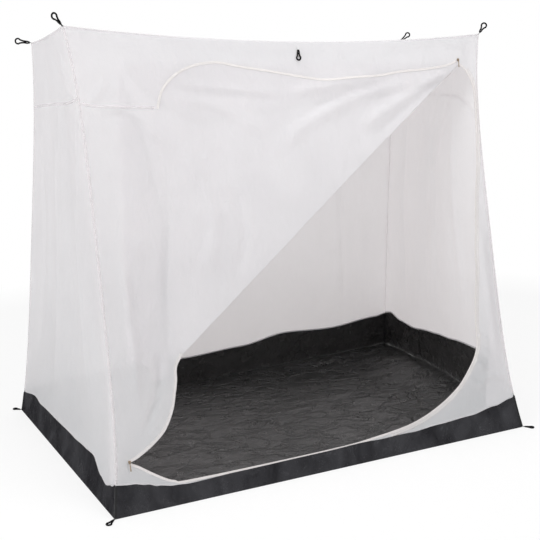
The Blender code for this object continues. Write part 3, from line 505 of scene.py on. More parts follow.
# Materials
class Finish:
    """A procedural material, or the world, while its nodes are put together."""

    def __init__(self, owner, output="ShaderNodeOutputMaterial"):
        self.owner = owner
        self.owner.use_nodes = True
        self.tree = self.owner.node_tree
        self.tree.nodes.clear()
        self.out = self.tree.nodes.new(output)

    def node(self, kind, settings=(), **inputs):
        """Adds a node. An input is a value or another node's output, its name with _ for spaces."""
        made = self.tree.nodes.new("ShaderNode" + kind)
        for key, value in dict(settings).items():
            setattr(made, key, value)
        for key, value in inputs.items():
            self.put(made.inputs[key.replace("_", " ")], value)
        return made

    def put(self, socket, value):
        if isinstance(value, bpy.types.NodeSocket):
            self.tree.links.new(value, socket)
        else:
            socket.default_value = value

    def maths(self, operation, *values, clamp=False):
        made = self.tree.nodes.new("ShaderNodeMath")
        made.operation = operation
        made.use_clamp = clamp
        for socket, value in zip(made.inputs, values):
            self.put(socket, value)
        return made.outputs[0]

    def place(self, scale=(1, 1, 1), uv=True):
        """Texture places: the cloth's own length and width in metres, or the cabin's space."""
        source = self.node("UVMap", {"uv_map": "UVMap"}).outputs[0] if uv else \
            self.node("TexCoord").outputs["Object"]
        return self.node("Mapping", Vector=source, Scale=scale).outputs[0]

    def cloud(self, scale, detail=3.0, rough=0.5, size=(1, 1, 1), uv=False, distortion=0.0):
        """Noise with a grain of 1 / scale metres."""
        return self.node("TexNoise", Vector=self.place(size, uv), Scale=scale, Detail=detail,
                         Roughness=rough, Distortion=distortion).outputs[0]

    def thread(self, period, direction, uv=True):
        """A wave of the given period in metres."""
        return self.node("TexWave", {"bands_direction": direction}, Vector=self.place(uv=uv),
                         Scale=2 * math.pi / (20 * period)).outputs[1]

    def weave(self, period):
        """Threads crossing over and under."""
        return self.maths("MULTIPLY", self.thread(period, "X"), self.thread(period, "Y"))

    def ramp(self, factor, *stops):
        """Colours at places from 0 to 1 of a factor."""
        made = self.node("ValToRGB", Fac=factor)
        ramp = made.color_ramp
        while len(ramp.elements) < len(stops):
            ramp.elements.new(0.5)
        for element, (place, colour) in zip(ramp.elements, stops):
            element.position = place
            element.color = (*colour, 1.0)
        return made.outputs[0]

    def bumps(self, *layers):
        """Bump layers on each other, each given as its height, distance and strength."""
        below = None
        for height, distance, strength in layers:
            made = self.node("Bump", Height=height, Distance=distance, Strength=strength)
            if below is not None:
                self.put(made.inputs["Normal"], below)
            below = made.outputs[0]
        return below

    def cover(self, colour, rough, bump, gloss, metallic=0.0, sheen=0.0):
        """The surface's own shader."""
        made = self.node("BsdfPrincipled", Base_Color=colour, Roughness=rough, Normal=bump)
        made.inputs["Specular IOR Level"].default_value = gloss
        made.inputs["Metallic"].default_value = metallic
        made.inputs["Sheen Weight"].default_value = sheen
        return made

    def mix(self, share, first, second):
        """Two shaders mixed, share of the second."""
        made = self.node("MixShader", Fac=share)
        self.put(made.inputs[1], first.outputs[0])
        self.put(made.inputs[2], second.outputs[0])
        return made

    def finish(self, shader):
        self.tree.links.new(shader, self.out.inputs["Surface"])
        return self.owner


def sheer(f, cover, through, glow_colour, open_weave, bump):
    """Makes a finish let light through, and a little of the view."""
    glow = f.node("BsdfTranslucent", Color=(*glow_colour, 1.0), Normal=bump)
    return f.finish(f.mix(open_weave, f.mix(through, cover, glow), f.node("BsdfTransparent")).outputs[0])


# Threads of the cloths, and stitches: half their width, their step and the share of it that is thread
WALL_THREAD = 0.0007
TRAY_THREAD = 0.0016
STITCH_HALF = 0.00045
STITCH_STEP = 0.0034
STITCH_SHARE = 0.66


def cloth_finish(name, glow_colour, through, open_weave):
    """Thin woven cloth that lets light and a little of the view through."""
    light, dark = (0.805, 0.828, 0.85), (0.765, 0.787, 0.81)
    f = Finish(bpy.data.materials.new(name))
    colour = f.ramp(f.cloud(5.0, detail=4.0), (0.3, dark), (0.7, light))
    folds = f.cloud(9.0, detail=3.0, size=(1.6, 1.6, 0.7), distortion=0.6)
    crumple = f.cloud(22.0, detail=3.0, size=(1.0, 1.0, 0.8), distortion=1.2)
    fine = f.cloud(60.0, detail=2.0)
    bump = f.bumps((f.weave(WALL_THREAD), 0.0001, 0.3), (fine, 0.0006, 0.5), (crumple, 0.003, 0.45),
                   (folds, 0.010, 0.5))
    cover = f.cover(colour, 0.62, bump, 0.25, sheen=0.15)
    return sheer(f, cover, through, glow_colour, open_weave, bump)


def tray_finish(name, light, dark, rough, crinkle, stretch, gloss=0.0, shine=0.0, ridges=0.0):
    """Black coated groundsheet cloth, creased and a little glossy, with sharp ridges that deep."""
    f = Finish(bpy.data.materials.new(name))
    colour = f.ramp(f.cloud(7.0, detail=5.0), (0.25, dark), (0.75, light))
    creases = f.cloud(26.0, detail=4.0, size=stretch, distortion=0.8)
    fine = f.cloud(140.0, detail=2.0, size=stretch)
    layers = [(f.weave(TRAY_THREAD), 0.00012, 0.5), (fine, 0.0006 * crinkle, 0.5),
              (creases, 0.0055 * crinkle, 0.6)]
    if ridges:
        pulled = f.cloud(7.0, detail=5.0, size=stretch, distortion=0.5)
        sharp = f.maths("ABSOLUTE", f.maths("SUBTRACT", pulled, 0.5))
        layers.append((f.maths("MINIMUM", sharp, 0.05), ridges, 0.6))
    bump = f.bumps(*layers)
    rub = f.maths("MULTIPLY_ADD", f.cloud(12.0, detail=4.0), 0.16, rough - 0.08)
    cover = f.cover(colour, rub, bump, gloss)
    if shine == 0.0:
        return f.finish(cover.outputs[0])
    coating = f.cover((0.92, 0.93, 1.0, 1.0), rub, bump, 0.5, metallic=1.0)
    patches = f.cloud(10.0, detail=5.0, size=stretch, distortion=0.7)
    share = f.maths("MULTIPLY_ADD", patches, 2.4 * shine, -0.35 * shine, clamp=True)
    return f.finish(f.mix(share, cover, coating).outputs[0])


def stitched_finish(name, light, dark, thread, rough, row, through=0.0, open_weave=0.0):
    """A felled seam or hem: cloth with a row of stitches at each side of its middle."""
    f = Finish(bpy.data.materials.new(name))
    cloth = f.ramp(f.cloud(40.0, detail=3.0), (0.3, dark), (0.7, light))
    parts = f.node("SeparateXYZ", Vector=f.place())
    off = f.maths("ABSOLUTE", f.maths("SUBTRACT", f.maths("ABSOLUTE", parts.outputs["Y"]), row))
    near = f.maths("LESS_THAN", off, STITCH_HALF)
    step = f.maths("FRACT", f.maths("MULTIPLY", parts.outputs["X"], 1 / STITCH_STEP))
    stitch = f.maths("MULTIPLY", near, f.maths("LESS_THAN", step, STITCH_SHARE))
    colour = f.node("MixRGB", Fac=stitch, Color1=cloth, Color2=(*thread, 1.0)).outputs[0]
    puckers = f.cloud(120.0, detail=2.0, size=(1.0, 0.25, 1.0), uv=True)
    bump = f.bumps((f.weave(WALL_THREAD), 0.0001, 0.3), (puckers, 0.0015, 0.6), (stitch, 0.0003, 0.8))
    cover = f.cover(colour, rough, bump, 0.25)
    if through == 0.0:
        return f.finish(cover.outputs[0])
    return sheer(f, cover, through, (0.92, 0.88, 0.88), open_weave, bump)


def band_finish(name, colour, dark, rough, thread, metallic=0.0, depth=0.0004, grain=240.0, gloss=0.5):
    """Zip coil, webbing, braid or metal, with threads across its length and wear."""
    f = Finish(bpy.data.materials.new(name))
    base = f.ramp(f.cloud(grain, detail=3.0), (0.3, dark), (0.7, colour))
    bump = f.bumps((f.thread(thread, "X"), depth, 0.8), (f.cloud(900.0, detail=2.0), 0.0001, 0.5))
    worn = f.maths("MULTIPLY_ADD", f.cloud(grain * 0.5, detail=2.0), 0.2, rough - 0.1)
    return f.finish(f.cover(base, worn, bump, gloss, metallic).outputs[0])


WALL_FINISH = cloth_finish("wall_cloth_finish", (0.945, 0.875, 0.87), 0.44, 0.07)
ROOF_FINISH = cloth_finish("roof_cloth_finish", (0.92, 0.865, 0.865), 0.14, 0.03)
# One black groundsheet cloth in a shaded and a lit copy: the outside of the front and left sides is painted
# darker, as painted shade, and the inside of the back and right sides is painted lighter, as painted light
SHADED_OUTER_TRAY_FINISH = tray_finish(
    "shaded_outer_tray_cloth_finish", (0.014, 0.0135, 0.0155), (0.008, 0.0076, 0.009), 0.28, 3.0, (1.0, 1.0, 0.5),
    shine=0.040)
LIT_INNER_TRAY_FINISH = tray_finish(
    "lit_inner_tray_cloth_finish", (0.042, 0.041, 0.041), (0.028, 0.0272, 0.0272), 0.26, 3.0, (1.0, 1.0, 0.8),
    gloss=0.6)
FLOOR_FINISH = tray_finish(
    "floor_cloth_finish", (0.040, 0.040, 0.040), (0.026, 0.026, 0.026), 0.29, 2.0, (0.8, 1.3, 1.0),
    gloss=0.58, ridges=0.16)
SEAM_FINISH = stitched_finish(
    "seam_finish", (0.85, 0.855, 0.87), (0.80, 0.805, 0.82), (0.68, 0.67, 0.69), 0.7, 0.0030, 0.55, 0.68)
RIM_FINISH = stitched_finish(
    "rim_seam_finish", (0.86, 0.865, 0.88), (0.78, 0.785, 0.80), (0.45, 0.45, 0.46), 0.7, 0.0018, 0.35, 0.15)
HEM_FINISH = stitched_finish(
    "hem_finish", (0.88, 0.87, 0.86), (0.81, 0.795, 0.785), (0.50, 0.47, 0.45), 0.7, 0.0045, 0.35, 0.10)
TRAY_SEAM_FINISH = stitched_finish(
    "tray_seam_finish", (0.018, 0.018, 0.020), (0.010, 0.010, 0.011), (0.006, 0.006, 0.007), 0.6, 0.0030)
ZIP_FINISH = band_finish(
    "zip_tape_finish", (0.80, 0.765, 0.755), (0.735, 0.70, 0.69), 0.6, 0.0008, gloss=0.2)
METAL_FINISH = band_finish(
    "zip_metal_finish", (0.44, 0.35, 0.26), (0.22, 0.16, 0.11), 0.40, 0.004, 0.7, 0.0001, 500.0)
CORD_FINISH = band_finish(
    "cord_finish", (0.007, 0.007, 0.008), (0.003, 0.003, 0.0035), 0.8, 0.0016, gloss=0.12)
TAB_FINISH = band_finish(
    "tab_finish", (0.010, 0.010, 0.011), (0.005, 0.005, 0.0055), 0.8, 0.0012, gloss=0.15)
PALE_TAB_FINISH = band_finish(
    "pale_tab_finish", (0.80, 0.80, 0.81), (0.70, 0.70, 0.71), 0.7, 0.0012, gloss=0.2)

# Camera
azimuth, elevation, turn = (math.radians(v) for v in (VIEW_AZIMUTH, VIEW_ELEVATION, VIEW_ROLL))
back = Vector((math.sin(azimuth) * math.cos(elevation), -math.cos(azimuth) * math.cos(elevation),
               math.sin(elevation)))
right = (-back).cross(Vector((0, 0, 1))).normalized()
up = right.cross(-back)
axes = Matrix((right * math.cos(turn) + up * math.sin(turn), up * math.cos(turn) - right * math.sin(turn),
               back))
camera_data = bpy.data.cameras.new("camera")
camera_data.lens = LENS
camera_data.sensor_width = SENSOR
camera = bpy.data.objects.new("camera", camera_data)
viewpoint = Matrix.Translation(VIEW_TARGET + back * VIEW_DISTANCE)
camera.matrix_world = viewpoint @ axes.transposed().to_4x4()
bpy.context.scene.collection.objects.link(camera)
bpy.context.scene.camera = camera
bpy.context.scene.view_settings.view_transform = "Standard"


# Cord loops and their tabs. The braid's soft outside stands past the CAD cord, less so at the tab
DRAWN_RADIUS = 1.32 * CORD_RADIUS
ROOT_RADIUS = 1.15 * CORD_RADIUS


def unit(v):
    return np.asarray(v, float) / np.linalg.norm(v)


def loop_line(length, width):
    """Points (along, aside) of a cord loop's line: two legs side by side, then a round eye."""
    eye = width / 2
    half = [(-0.003, 0.0017), (LOOP_LEG_START * 0.4, 0.0024), (LOOP_LEG_START, LOOP_NECK),
            ((length - width) * LOOP_LEG_SHARE, LOOP_NECK)]
    for k in range(LOOP_EYE_POINTS):
        a = math.radians(lerp(LOOP_EYE_START, 0, k / LOOP_EYE_POINTS))
        half.append((length - eye + eye * math.cos(a), eye * math.sin(a)))
    return resample(curve(half + [(length, 0)] + [(x, -y) for x, y in reversed(half)]), 0.0012)


def cord_loop(name, body, root, reach, across, length, width):
    """A loop of braided cord that leaves its tab along reach and lies square to across."""
    line = loop_line(length, width)
    side = unit(np.cross(reach, across))
    path = np.asarray(root) + line[:, :1] * reach + line[:, 1:] * side
    radius = lerp(ROOT_RADIUS, DRAWN_RADIUS, smooth_step((line[:, 0] - 0.004) / 0.010))
    piece = add_skins(name + "_cord", [tube(path, radius, 8, across)], CORD_FINISH, body, "cord", (name,))
    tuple(path[0])
    float(lengths_along(path)[-1])


def webbing(name, root, reach, across, start, material=TAB_FINISH):
    """A folded webbing tab along reach, from a distance behind the loop's root up to its cord."""
    end = -LOOP_CORD - TAB_GAP
    half, low = TAB_SIZE[0] / 2, start
    one_side = [(low, half * 0.92), (low + 0.0006, half), (end - 0.0012, half), (end - 0.0003, half * 0.8),
                (end, half * 0.4)]
    outline = [(along_tab, -aside) for along_tab, aside in one_side] + one_side[::-1]
    t = TAB_SIZE[1] / 2
    levels = ((-t, 0.92), (-t * 0.6, 1.0), (t * 0.6, 1.0), (t, 0.92))
    points, faces, _ = slab(outline, levels, root, (reach, across, np.cross(reach, across)))
    threads = np.tile(np.array(outline), (len(levels), 1))
    add_skins(name + "_webbing", [(points, faces, threads)], material, "cabin", "tab", (name,))


for place, (side, end, tilt, heading, length) in TOP_LOOPS.items():
    e, a = math.radians(tilt), math.radians(heading)
    reach = np.array((math.cos(e) * math.cos(a), math.cos(e) * math.sin(a), math.sin(e)))
    across = unit(np.cross(reach, (0, 0, 1)))
    root = corner(side, end, np.array(HEIGHT)) + reach * LOOP_ROOT
    cord_loop("loop_" + place, "hanging_loop_" + place, root, reach, across, length, LOOP_WIDTH)
    webbing("loop_tab_" + place, root, reach, across, -LOOP_ROOT - TAB_INNER)

z = np.array(float(front_top(MIDDLE_LOOP_X)) - MIDDLE_LOOP_DROP)
inward = front_inward(z - MIDDLE_LOOP_LENGTH)
root = front_point(MIDDLE_LOOP_X, z) - inward * (CLOTH / 2 + LOOP_CORD + LOOP_STAND_OFF)
down = np.cross(inward, (1, 0, 0))
cord_loop("loop_middle", "hanging_loop_middle", root, down, inward, MIDDLE_LOOP_LENGTH, MIDDLE_LOOP_WIDTH)
webbing("loop_tab_middle", root, down, np.array((1.0, 0, 0)), -MIDDLE_TAB, PALE_TAB_FINISH)

CORNERS = (("front_left", -1, -1), ("front_right", 1, -1), ("back_left", -1, 1), ("back_right", 1, 1))
for place, side, end in CORNERS:
    reach = unit((side, end, 0))
    foot = corner(side, end, np.array(0.0))
    root = foot + reach * PEG_LOOP_ROOT
    root[2] = CORD_RADIUS + PEG_CLEARANCE + float(lift(foot[0], foot[1]))
    cord_loop("peg_loop_" + place, "ground_loop_" + place, root, reach, np.array((0, 0, 1.0)),
              PEG_LOOP_LENGTH, PEG_LOOP_WIDTH)
    webbing("peg_tab_" + place, root, reach, np.array((reach[1], -reach[0], 0)),
            -PEG_LOOP_ROOT + SEAM_RADIUS + PEG_CLEARANCE)

# Door lines
STRETCH = math.hypot(1, (TOP_FRONT_Y + DEPTH / 2) / HEIGHT)
PLANE = np.array((1.0, STRETCH))


def mirror(points, a, b):
    """Folds (x, z) points over the line through a and b, true to size in the leaning wall."""
    points, a, b = np.asarray(points) * PLANE, np.asarray(a) * PLANE, np.asarray(b) * PLANE
    u = (b - a) / np.linalg.norm(b - a)
    v = points - a
    return (a + 2 * (v @ u)[..., None] * u - v) / PLANE


def beyond(points, a, b):
    """Signed distance of (x, z) points from the line through a and b."""
    a, run = np.asarray(a, float), np.subtract(b, a)
    points = np.asarray(points)
    return ((points[..., 1] - a[1]) * run[0] - (points[..., 0] - a[0]) * run[1]) / np.linalg.norm(run)


def cut_by(outline, a, b, start=0):
    """Where an outline first goes beyond the line through a and b and where it comes back."""
    found = []
    side = beyond(outline, a, b)
    for i in range(start, len(outline) - 1):
        if (side[i] <= 0) != (side[i + 1] <= 0):
            t = side[i] / (side[i] - side[i + 1])
            found += [i, lerp(outline[i], outline[i + 1], t)]
            if len(found) == 4:
                return found
    raise ValueError("the outline doesn't cross the line twice")


def roll(distance, radius=FLAP_SPACING / 2):
    """How far cloth has turned round a fold of that radius at a distance from its edge, 0 to 1."""
    near = np.clip(1 - distance / radius, 0, 1)
    return 1 - np.sqrt(1 - near * near)


TOP_ZIP = resample(curve(DOOR_TOP_EDGE))
OPENING = resample(curve(OPENING_EDGE))
DRAPE = resample(curve(DRAPE_EDGE))
FOLD = resample([FOLD_FOOT, FOLD_TOP])
FOLD_ROLLS = (0.0008, 0.0020, 0.0032)

FACING_EDGE = ((0.915, 1.100), (0.897, 0.930), (0.864, 0.657), (0.832, 0.438), (0.813, 0.318),
               (0.788, 0.238), (0.770, 0.170), (0.762, 0.112))

# Where the sliders run: the cloth lies flat there
SLIDER_RUNS = (((0.806, 1.635), (0.411, 1.571)), ((-0.857, 0.181), (-0.736, 0.104)))

# Creases on the front wall and the door: points (x, z), width and height
FRONT_CREASES = (
    (((0.780, 1.600), (0.599, 1.520), (0.271, 1.347)), 0.026, 0.0055),
    (((0.790, 1.590), (0.560, 1.450), (0.330, 1.300)), 0.015, -0.003),
    (((0.760, 1.610), (0.393, 1.516), (0.092, 1.409), (-0.152, 1.261)), 0.032, 0.0055),
    (((0.720, 1.600), (0.300, 1.553), (-0.080, 1.491)), 0.026, 0.0045),
    (((0.560, 1.560), (0.250, 1.500), (-0.020, 1.400)), 0.010, -0.004),
    (((-0.541, 1.545), (-0.319, 1.523), (-0.082, 1.497)), 0.014, 0.002),
    (((-0.544, 1.512), (-0.300, 1.490), (-0.040, 1.467)), 0.013, -0.0016),
    (((-0.535, 1.500), (-0.330, 1.440), (-0.150, 1.330)), 0.022, 0.003),
    (((-0.520, 1.300), (-0.420, 1.050), (-0.470, 0.800)), 0.030, 0.005),
    (((-0.330, 1.150), (-0.300, 0.950), (-0.360, 0.780)), 0.022, -0.004),
    (((0.739, 1.720), (0.790, 1.702), (0.843, 1.683)), 0.007, 0.005),
    (((0.700, 1.700), (0.760, 1.686), (0.830, 1.660)), 0.006, -0.003),
    (((-0.880, 1.470), (-0.830, 1.500), (-0.790, 1.560)), 0.010, 0.004),
    (((-0.885, 1.466), (-0.840, 1.430), (-0.815, 1.370)), 0.010, 0.004),
    (((-0.875, 1.462), (-0.820, 1.455), (-0.740, 1.450)), 0.007, 0.003),
    (((-0.840, 1.440), (-0.716, 1.440), (-0.576, 1.294)), 0.014, 0.004),
    (((-0.800, 0.900), (-0.790, 0.600), (-0.800, 0.350)), 0.013, 0.008),
    (((-0.700, 0.560), (-0.715, 0.430), (-0.790, 0.260)), 0.011, -0.007),
    (((-0.595, 1.295), (-0.609, 1.034), (-0.647, 0.777), (-0.662, 0.482)), 0.006, -0.0035),
    (((-0.715, 1.061), (-0.743, 0.824), (-0.771, 0.582), (-0.726, 0.437), (-0.685, 0.313)), 0.005, 0.0025),
    (((0.845, 0.900), (0.850, 0.600), (0.860, 0.300)), 0.018, 0.005),
    (((0.720, 0.200), (0.800, 0.240), (0.880, 0.220)), 0.010, 0.005),
    (((0.775, 0.430), (0.800, 0.405), (0.820, 0.400)), 0.007, 0.004),
    (((0.765, 0.375), (0.795, 0.345), (0.830, 0.340)), 0.007, 0.004),
    (((0.740, 0.320), (0.775, 0.285), (0.810, 0.280)), 0.007, 0.004),
    (((0.690, 0.255), (0.730, 0.215), (0.770, 0.190)), 0.007, 0.004),
    (((0.850, 0.260), (0.880, 0.200), (0.895, 0.160)), 0.008, 0.004),
)


def front_relief(points):
    """How far the front cloth stands out at (x, z) points: creases, and soft unevenness."""
    x, z = points[:, 0], points[:, 1]
    height = relief(points, FRONT_CREASES)
    height += 0.0030 * noise(x * 3.1 + 5, z * 2.0 + 9, 3) + 0.0014 * noise(x * 9 + z * 5, z * 8 + 3, 4)
    height += 0.0006 * noise(x * 24 + z * 9, z * 21 + 3, 5)
    edge = np.minimum(np.minimum(x - front_x(0, z), front_x(1, z) - x), front_top(x) - z)
    edge = np.minimum(edge, z - along(FRONT_RIM, x))
    for run in SLIDER_RUNS:
        edge = np.minimum(edge, nearest(points, resample(run, 0.02))[0] - 0.02)
    return 1.7 * height * smooth_step(edge / 0.05)


def on_front(points, depth=0.0):
    """Places (x, z) points on the front cloth, or that deep behind it."""
    points = np.asarray(points, float)
    sunk = np.asarray(depth) - front_relief(points)
    return front_point(points[:, 0], points[:, 1]) + front_inward(points[:, 1]) * sunk[:, None]


def behind_front(base):
    """Places (x, z) points that deep behind the front cloth."""
    return lambda points, depth=0.0: on_front(points, base + depth)


def front_cloth(name, outline, body, nodes, base=0.0, rolls=(), holes=(), rings=()):
    """A sheet on the front wall. rolls are (line, direction) pairs where its edge turns round a fold."""
    flat, faces = fill(outline, holes, rings)
    depth = np.full(len(flat), base)
    for line, direction in rolls:
        depth += direction * FLAP_SPACING / 2 * roll(nearest(flat, line)[0])
    cut = flat * PLANE
    piece = add_piece(name, on_front(flat, depth), faces, WALL_FINISH, body, "wall_cloth", nodes, cut)


# Front wall with the door's hanging part
z_left, z_right = (float(along(FRONT_RIM, x)) for x in (-0.93, 0.93))
left_z, right_z = np.linspace(z_left, HEIGHT, 120), np.linspace(HEIGHT, z_right, 120)
top_x = np.linspace(-TOP_HALF, TOP_HALF, 140)[1:-1]
rim_x = np.linspace(float(front_x(1, np.array(z_right))), float(front_x(0, np.array(z_left))), 140)[1:-1]
outline = np.vstack([
    np.stack([front_x(0, left_z), left_z], axis=1),
    np.stack([top_x, front_top(top_x)], axis=1),
    np.stack([front_x(1, right_z), right_z], axis=1),
    np.stack([rim_x, along(FRONT_RIM, rim_x) - 0.003], axis=1),
])
hole = np.vstack([OPENING, [DOOR_FOOT], DRAPE[::-1], FOLD[1:]])
front_cloth(
    "front_wall", outline, "cabin",
    ("front_wall_upper", "front_wall_left", "front_wall_right", "door_panel"),
    rolls=[(FOLD, 1)], holes=[hole], rings=[offset(FOLD, d)[1:-1] for d in FOLD_ROLLS])

# The loose part of the door, turned back behind the hanging part, with its edges folded over
loose = offset(OPENING, -FLAP_CLEARANCE)
loose = loose[loose[:, 0] > FLAP_WEST_END][1:]
drape = offset(DRAPE, DRAPE_GAP)
drape = drape[drape[:, 1] > FLAP_FOOT_Z][::-1]
turned = np.vstack([[FOLD_TOP], mirror(np.vstack([loose, drape]), FOLD_TOP, FOLD_FOOT), [FOLD_FOOT]])
i0, top_in, i1, top_out = cut_by(turned, (-1, TOP_FOLD_Z), (1, TOP_FOLD_Z))
j0, side_in, j1, side_out = cut_by(turned, SIDE_FOLD_FOOT, SIDE_FOLD_TOP, i1 + 1)
top_fold, side_fold = resample([top_in, top_out]), resample([side_in, side_out])
around = np.vstack([turned[1:i0 + 1], top_fold, turned[i1 + 1:j0 + 1], side_fold, turned[j1 + 1:-1], FOLD])
front_cloth("flap_cloth", around, "flap", ("door_flap",), base=FLAP_SPACING,
            rolls=[(FOLD, -1), (top_fold, 1), (side_fold, 1)],
            rings=[offset(FOLD, d)[2:-2] for d in FOLD_ROLLS])

top_edge = mirror(turned[i0 + 1:i1 + 1], top_in, top_out)
front_cloth("flap_top_cloth", np.vstack([top_fold, top_edge[::-1]]), "flap_top", ("door_flap_top",),
            base=2 * FLAP_SPACING, rolls=[(top_fold, -1)])

edge = np.vstack([[side_in], mirror(turned[j0 + 1:j1 + 1], side_in, side_out), [side_out]])
k0, hem_in, k1, hem_out = cut_by(edge, HEM_FOLD_TOP, HEM_FOLD_FOOT)
hem_fold = resample([hem_in, hem_out])
around = np.vstack([side_fold[::-1], edge[1:k0 + 1], hem_fold, edge[k1 + 1:-1]])
front_cloth("flap_side_cloth", around, "flap_side", ("door_flap_side",),
            base=2 * FLAP_SPACING, rolls=[(side_fold, -1), (hem_fold, 1)])
hem_edge = mirror(edge[k0 + 1:k1 + 1], hem_in, hem_out)
front_cloth("flap_hem_cloth", np.vstack([hem_fold, hem_edge[::-1]]), "flap_hem", ("door_flap_hem",),
            base=3 * FLAP_SPACING, rolls=[(hem_fold, -1)])


# A facing sewn inside the strip right of the door
FACING_INSET = 0.006
FACING_LEAST = 0.014
wide = resample(curve(FACING_EDGE))
wide[:, 0] = np.minimum(wide[:, 0], front_x(1, wide[:, 1]) - FACING_LEAST)
right_z = np.linspace(float(along(FRONT_RIM, 0.92)) + FACING_INSET, float(wide[0, 1]), 60)
foot_x = np.linspace(float(wide[-1, 0]), float(front_x(1, right_z[0])) - FACING_INSET, 16)[1:-1]
foot = np.stack([foot_x, along(FRONT_RIM, foot_x) + 0.003], axis=1)
outer = np.stack([front_x(1, right_z) - FACING_INSET, right_z], axis=1)
front_cloth("front_facing", np.vstack([wide, foot, outer]), "cabin", (), base=0.0035)

# Zips: woven tape with a coil of teeth along its free edge
COIL_RADIUS = 0.0011
COIL_PERIOD = 0.0030
TAPE_THICKNESS = 0.0022
CLOSED_HALF = 0.0050
CLOSED_THICKNESS = 0.0024


def coil(line, place, stand):
    """The teeth of a zip along a line on a cloth."""
    path = place(resample(line, COIL_PERIOD / 3), -stand)
    radius = COIL_RADIUS * (1 + 0.28 * np.cos(2 * math.pi * np.arange(len(path)) / 3))
    return tube(path, radius, 5, (0, 1, 0))


def zip_half(name, line, inward, place, body, node):
    """Half a zip along a cloth's edge. inward is 1 where the cloth lies to the line's left."""
    low, high = sorted((0.0, inward * (ZIP_WIDTH - 0.0004)))
    tape = band(line, flat_section(low, high, TAPE_THICKNESS), place)
    teeth = coil(offset(line, inward * 0.0006), place, 0.0008)
    add_skins(name, [tape, teeth], ZIP_FINISH, body, "zip_tape", (node,))


tapes = band(TOP_ZIP, flat_section(-CLOSED_HALF, CLOSED_HALF, CLOSED_THICKNESS), on_front)
add_skins("zip_over_door", [tapes, coil(TOP_ZIP, on_front, 0.0002)], ZIP_FINISH, "cabin", "zip_tape",
          ("zip_closed",))
zip_half("zip_round_opening", OPENING, 1, on_front, "cabin", "zip_wall_side")


def far_from(line, a, b):
    """The part of a line that is clear of the fold through a and b."""
    return line[np.abs(beyond(line, a, b)) > ZIP_WIDTH + 0.006]


def towards(line, a, b):
    """1 where the middle between a and b lies to the left of a line."""
    k = len(line) // 2
    run = line[k] - line[k - 1]
    to = (np.asarray(a) + b) / 2 - line[k]
    return 1 if run[0] * to[1] - run[1] * to[0] > 0 else -1


for name, line, a, b, layer, body in (
        ("zip_on_flap_top", top_edge, top_in, top_out, 2, "flap_top"),
        ("zip_on_flap_side", edge[1:k0 + 1], side_in, side_out, 2, "flap_side"),
        ("zip_on_flap_hem", hem_edge, hem_in, hem_out, 3, "flap_hem")):
    clear = far_from(line, a, b)
    zip_half(name, clear, towards(clear, a, b), behind_front(layer * FLAP_SPACING), body,
             name.replace("_on_flap", "_flap"))

# The rolled hem along the hanging part's lower edge, and the facing outside the opening's zip
HEM_HALF = 0.006
lay_band("drape_hem", offset(DRAPE, -HEM_HALF), on_front, (-HEM_HALF, HEM_HALF), 0.0030, HEM_FINISH,
         "wall_cloth")
OPENING_FACING_HALF = 0.0062
facing = offset(OPENING[3:], 0.0155)
facing = facing[(facing[:, 1] - along(FRONT_RIM, facing[:, 0]) > 0.0085) & (facing[:, 0] > 0)]
lay_band("opening_facing", facing, on_front, (-OPENING_FACING_HALF, OPENING_FACING_HALF), 0.0016,
         HEM_FINISH, "wall_cloth")


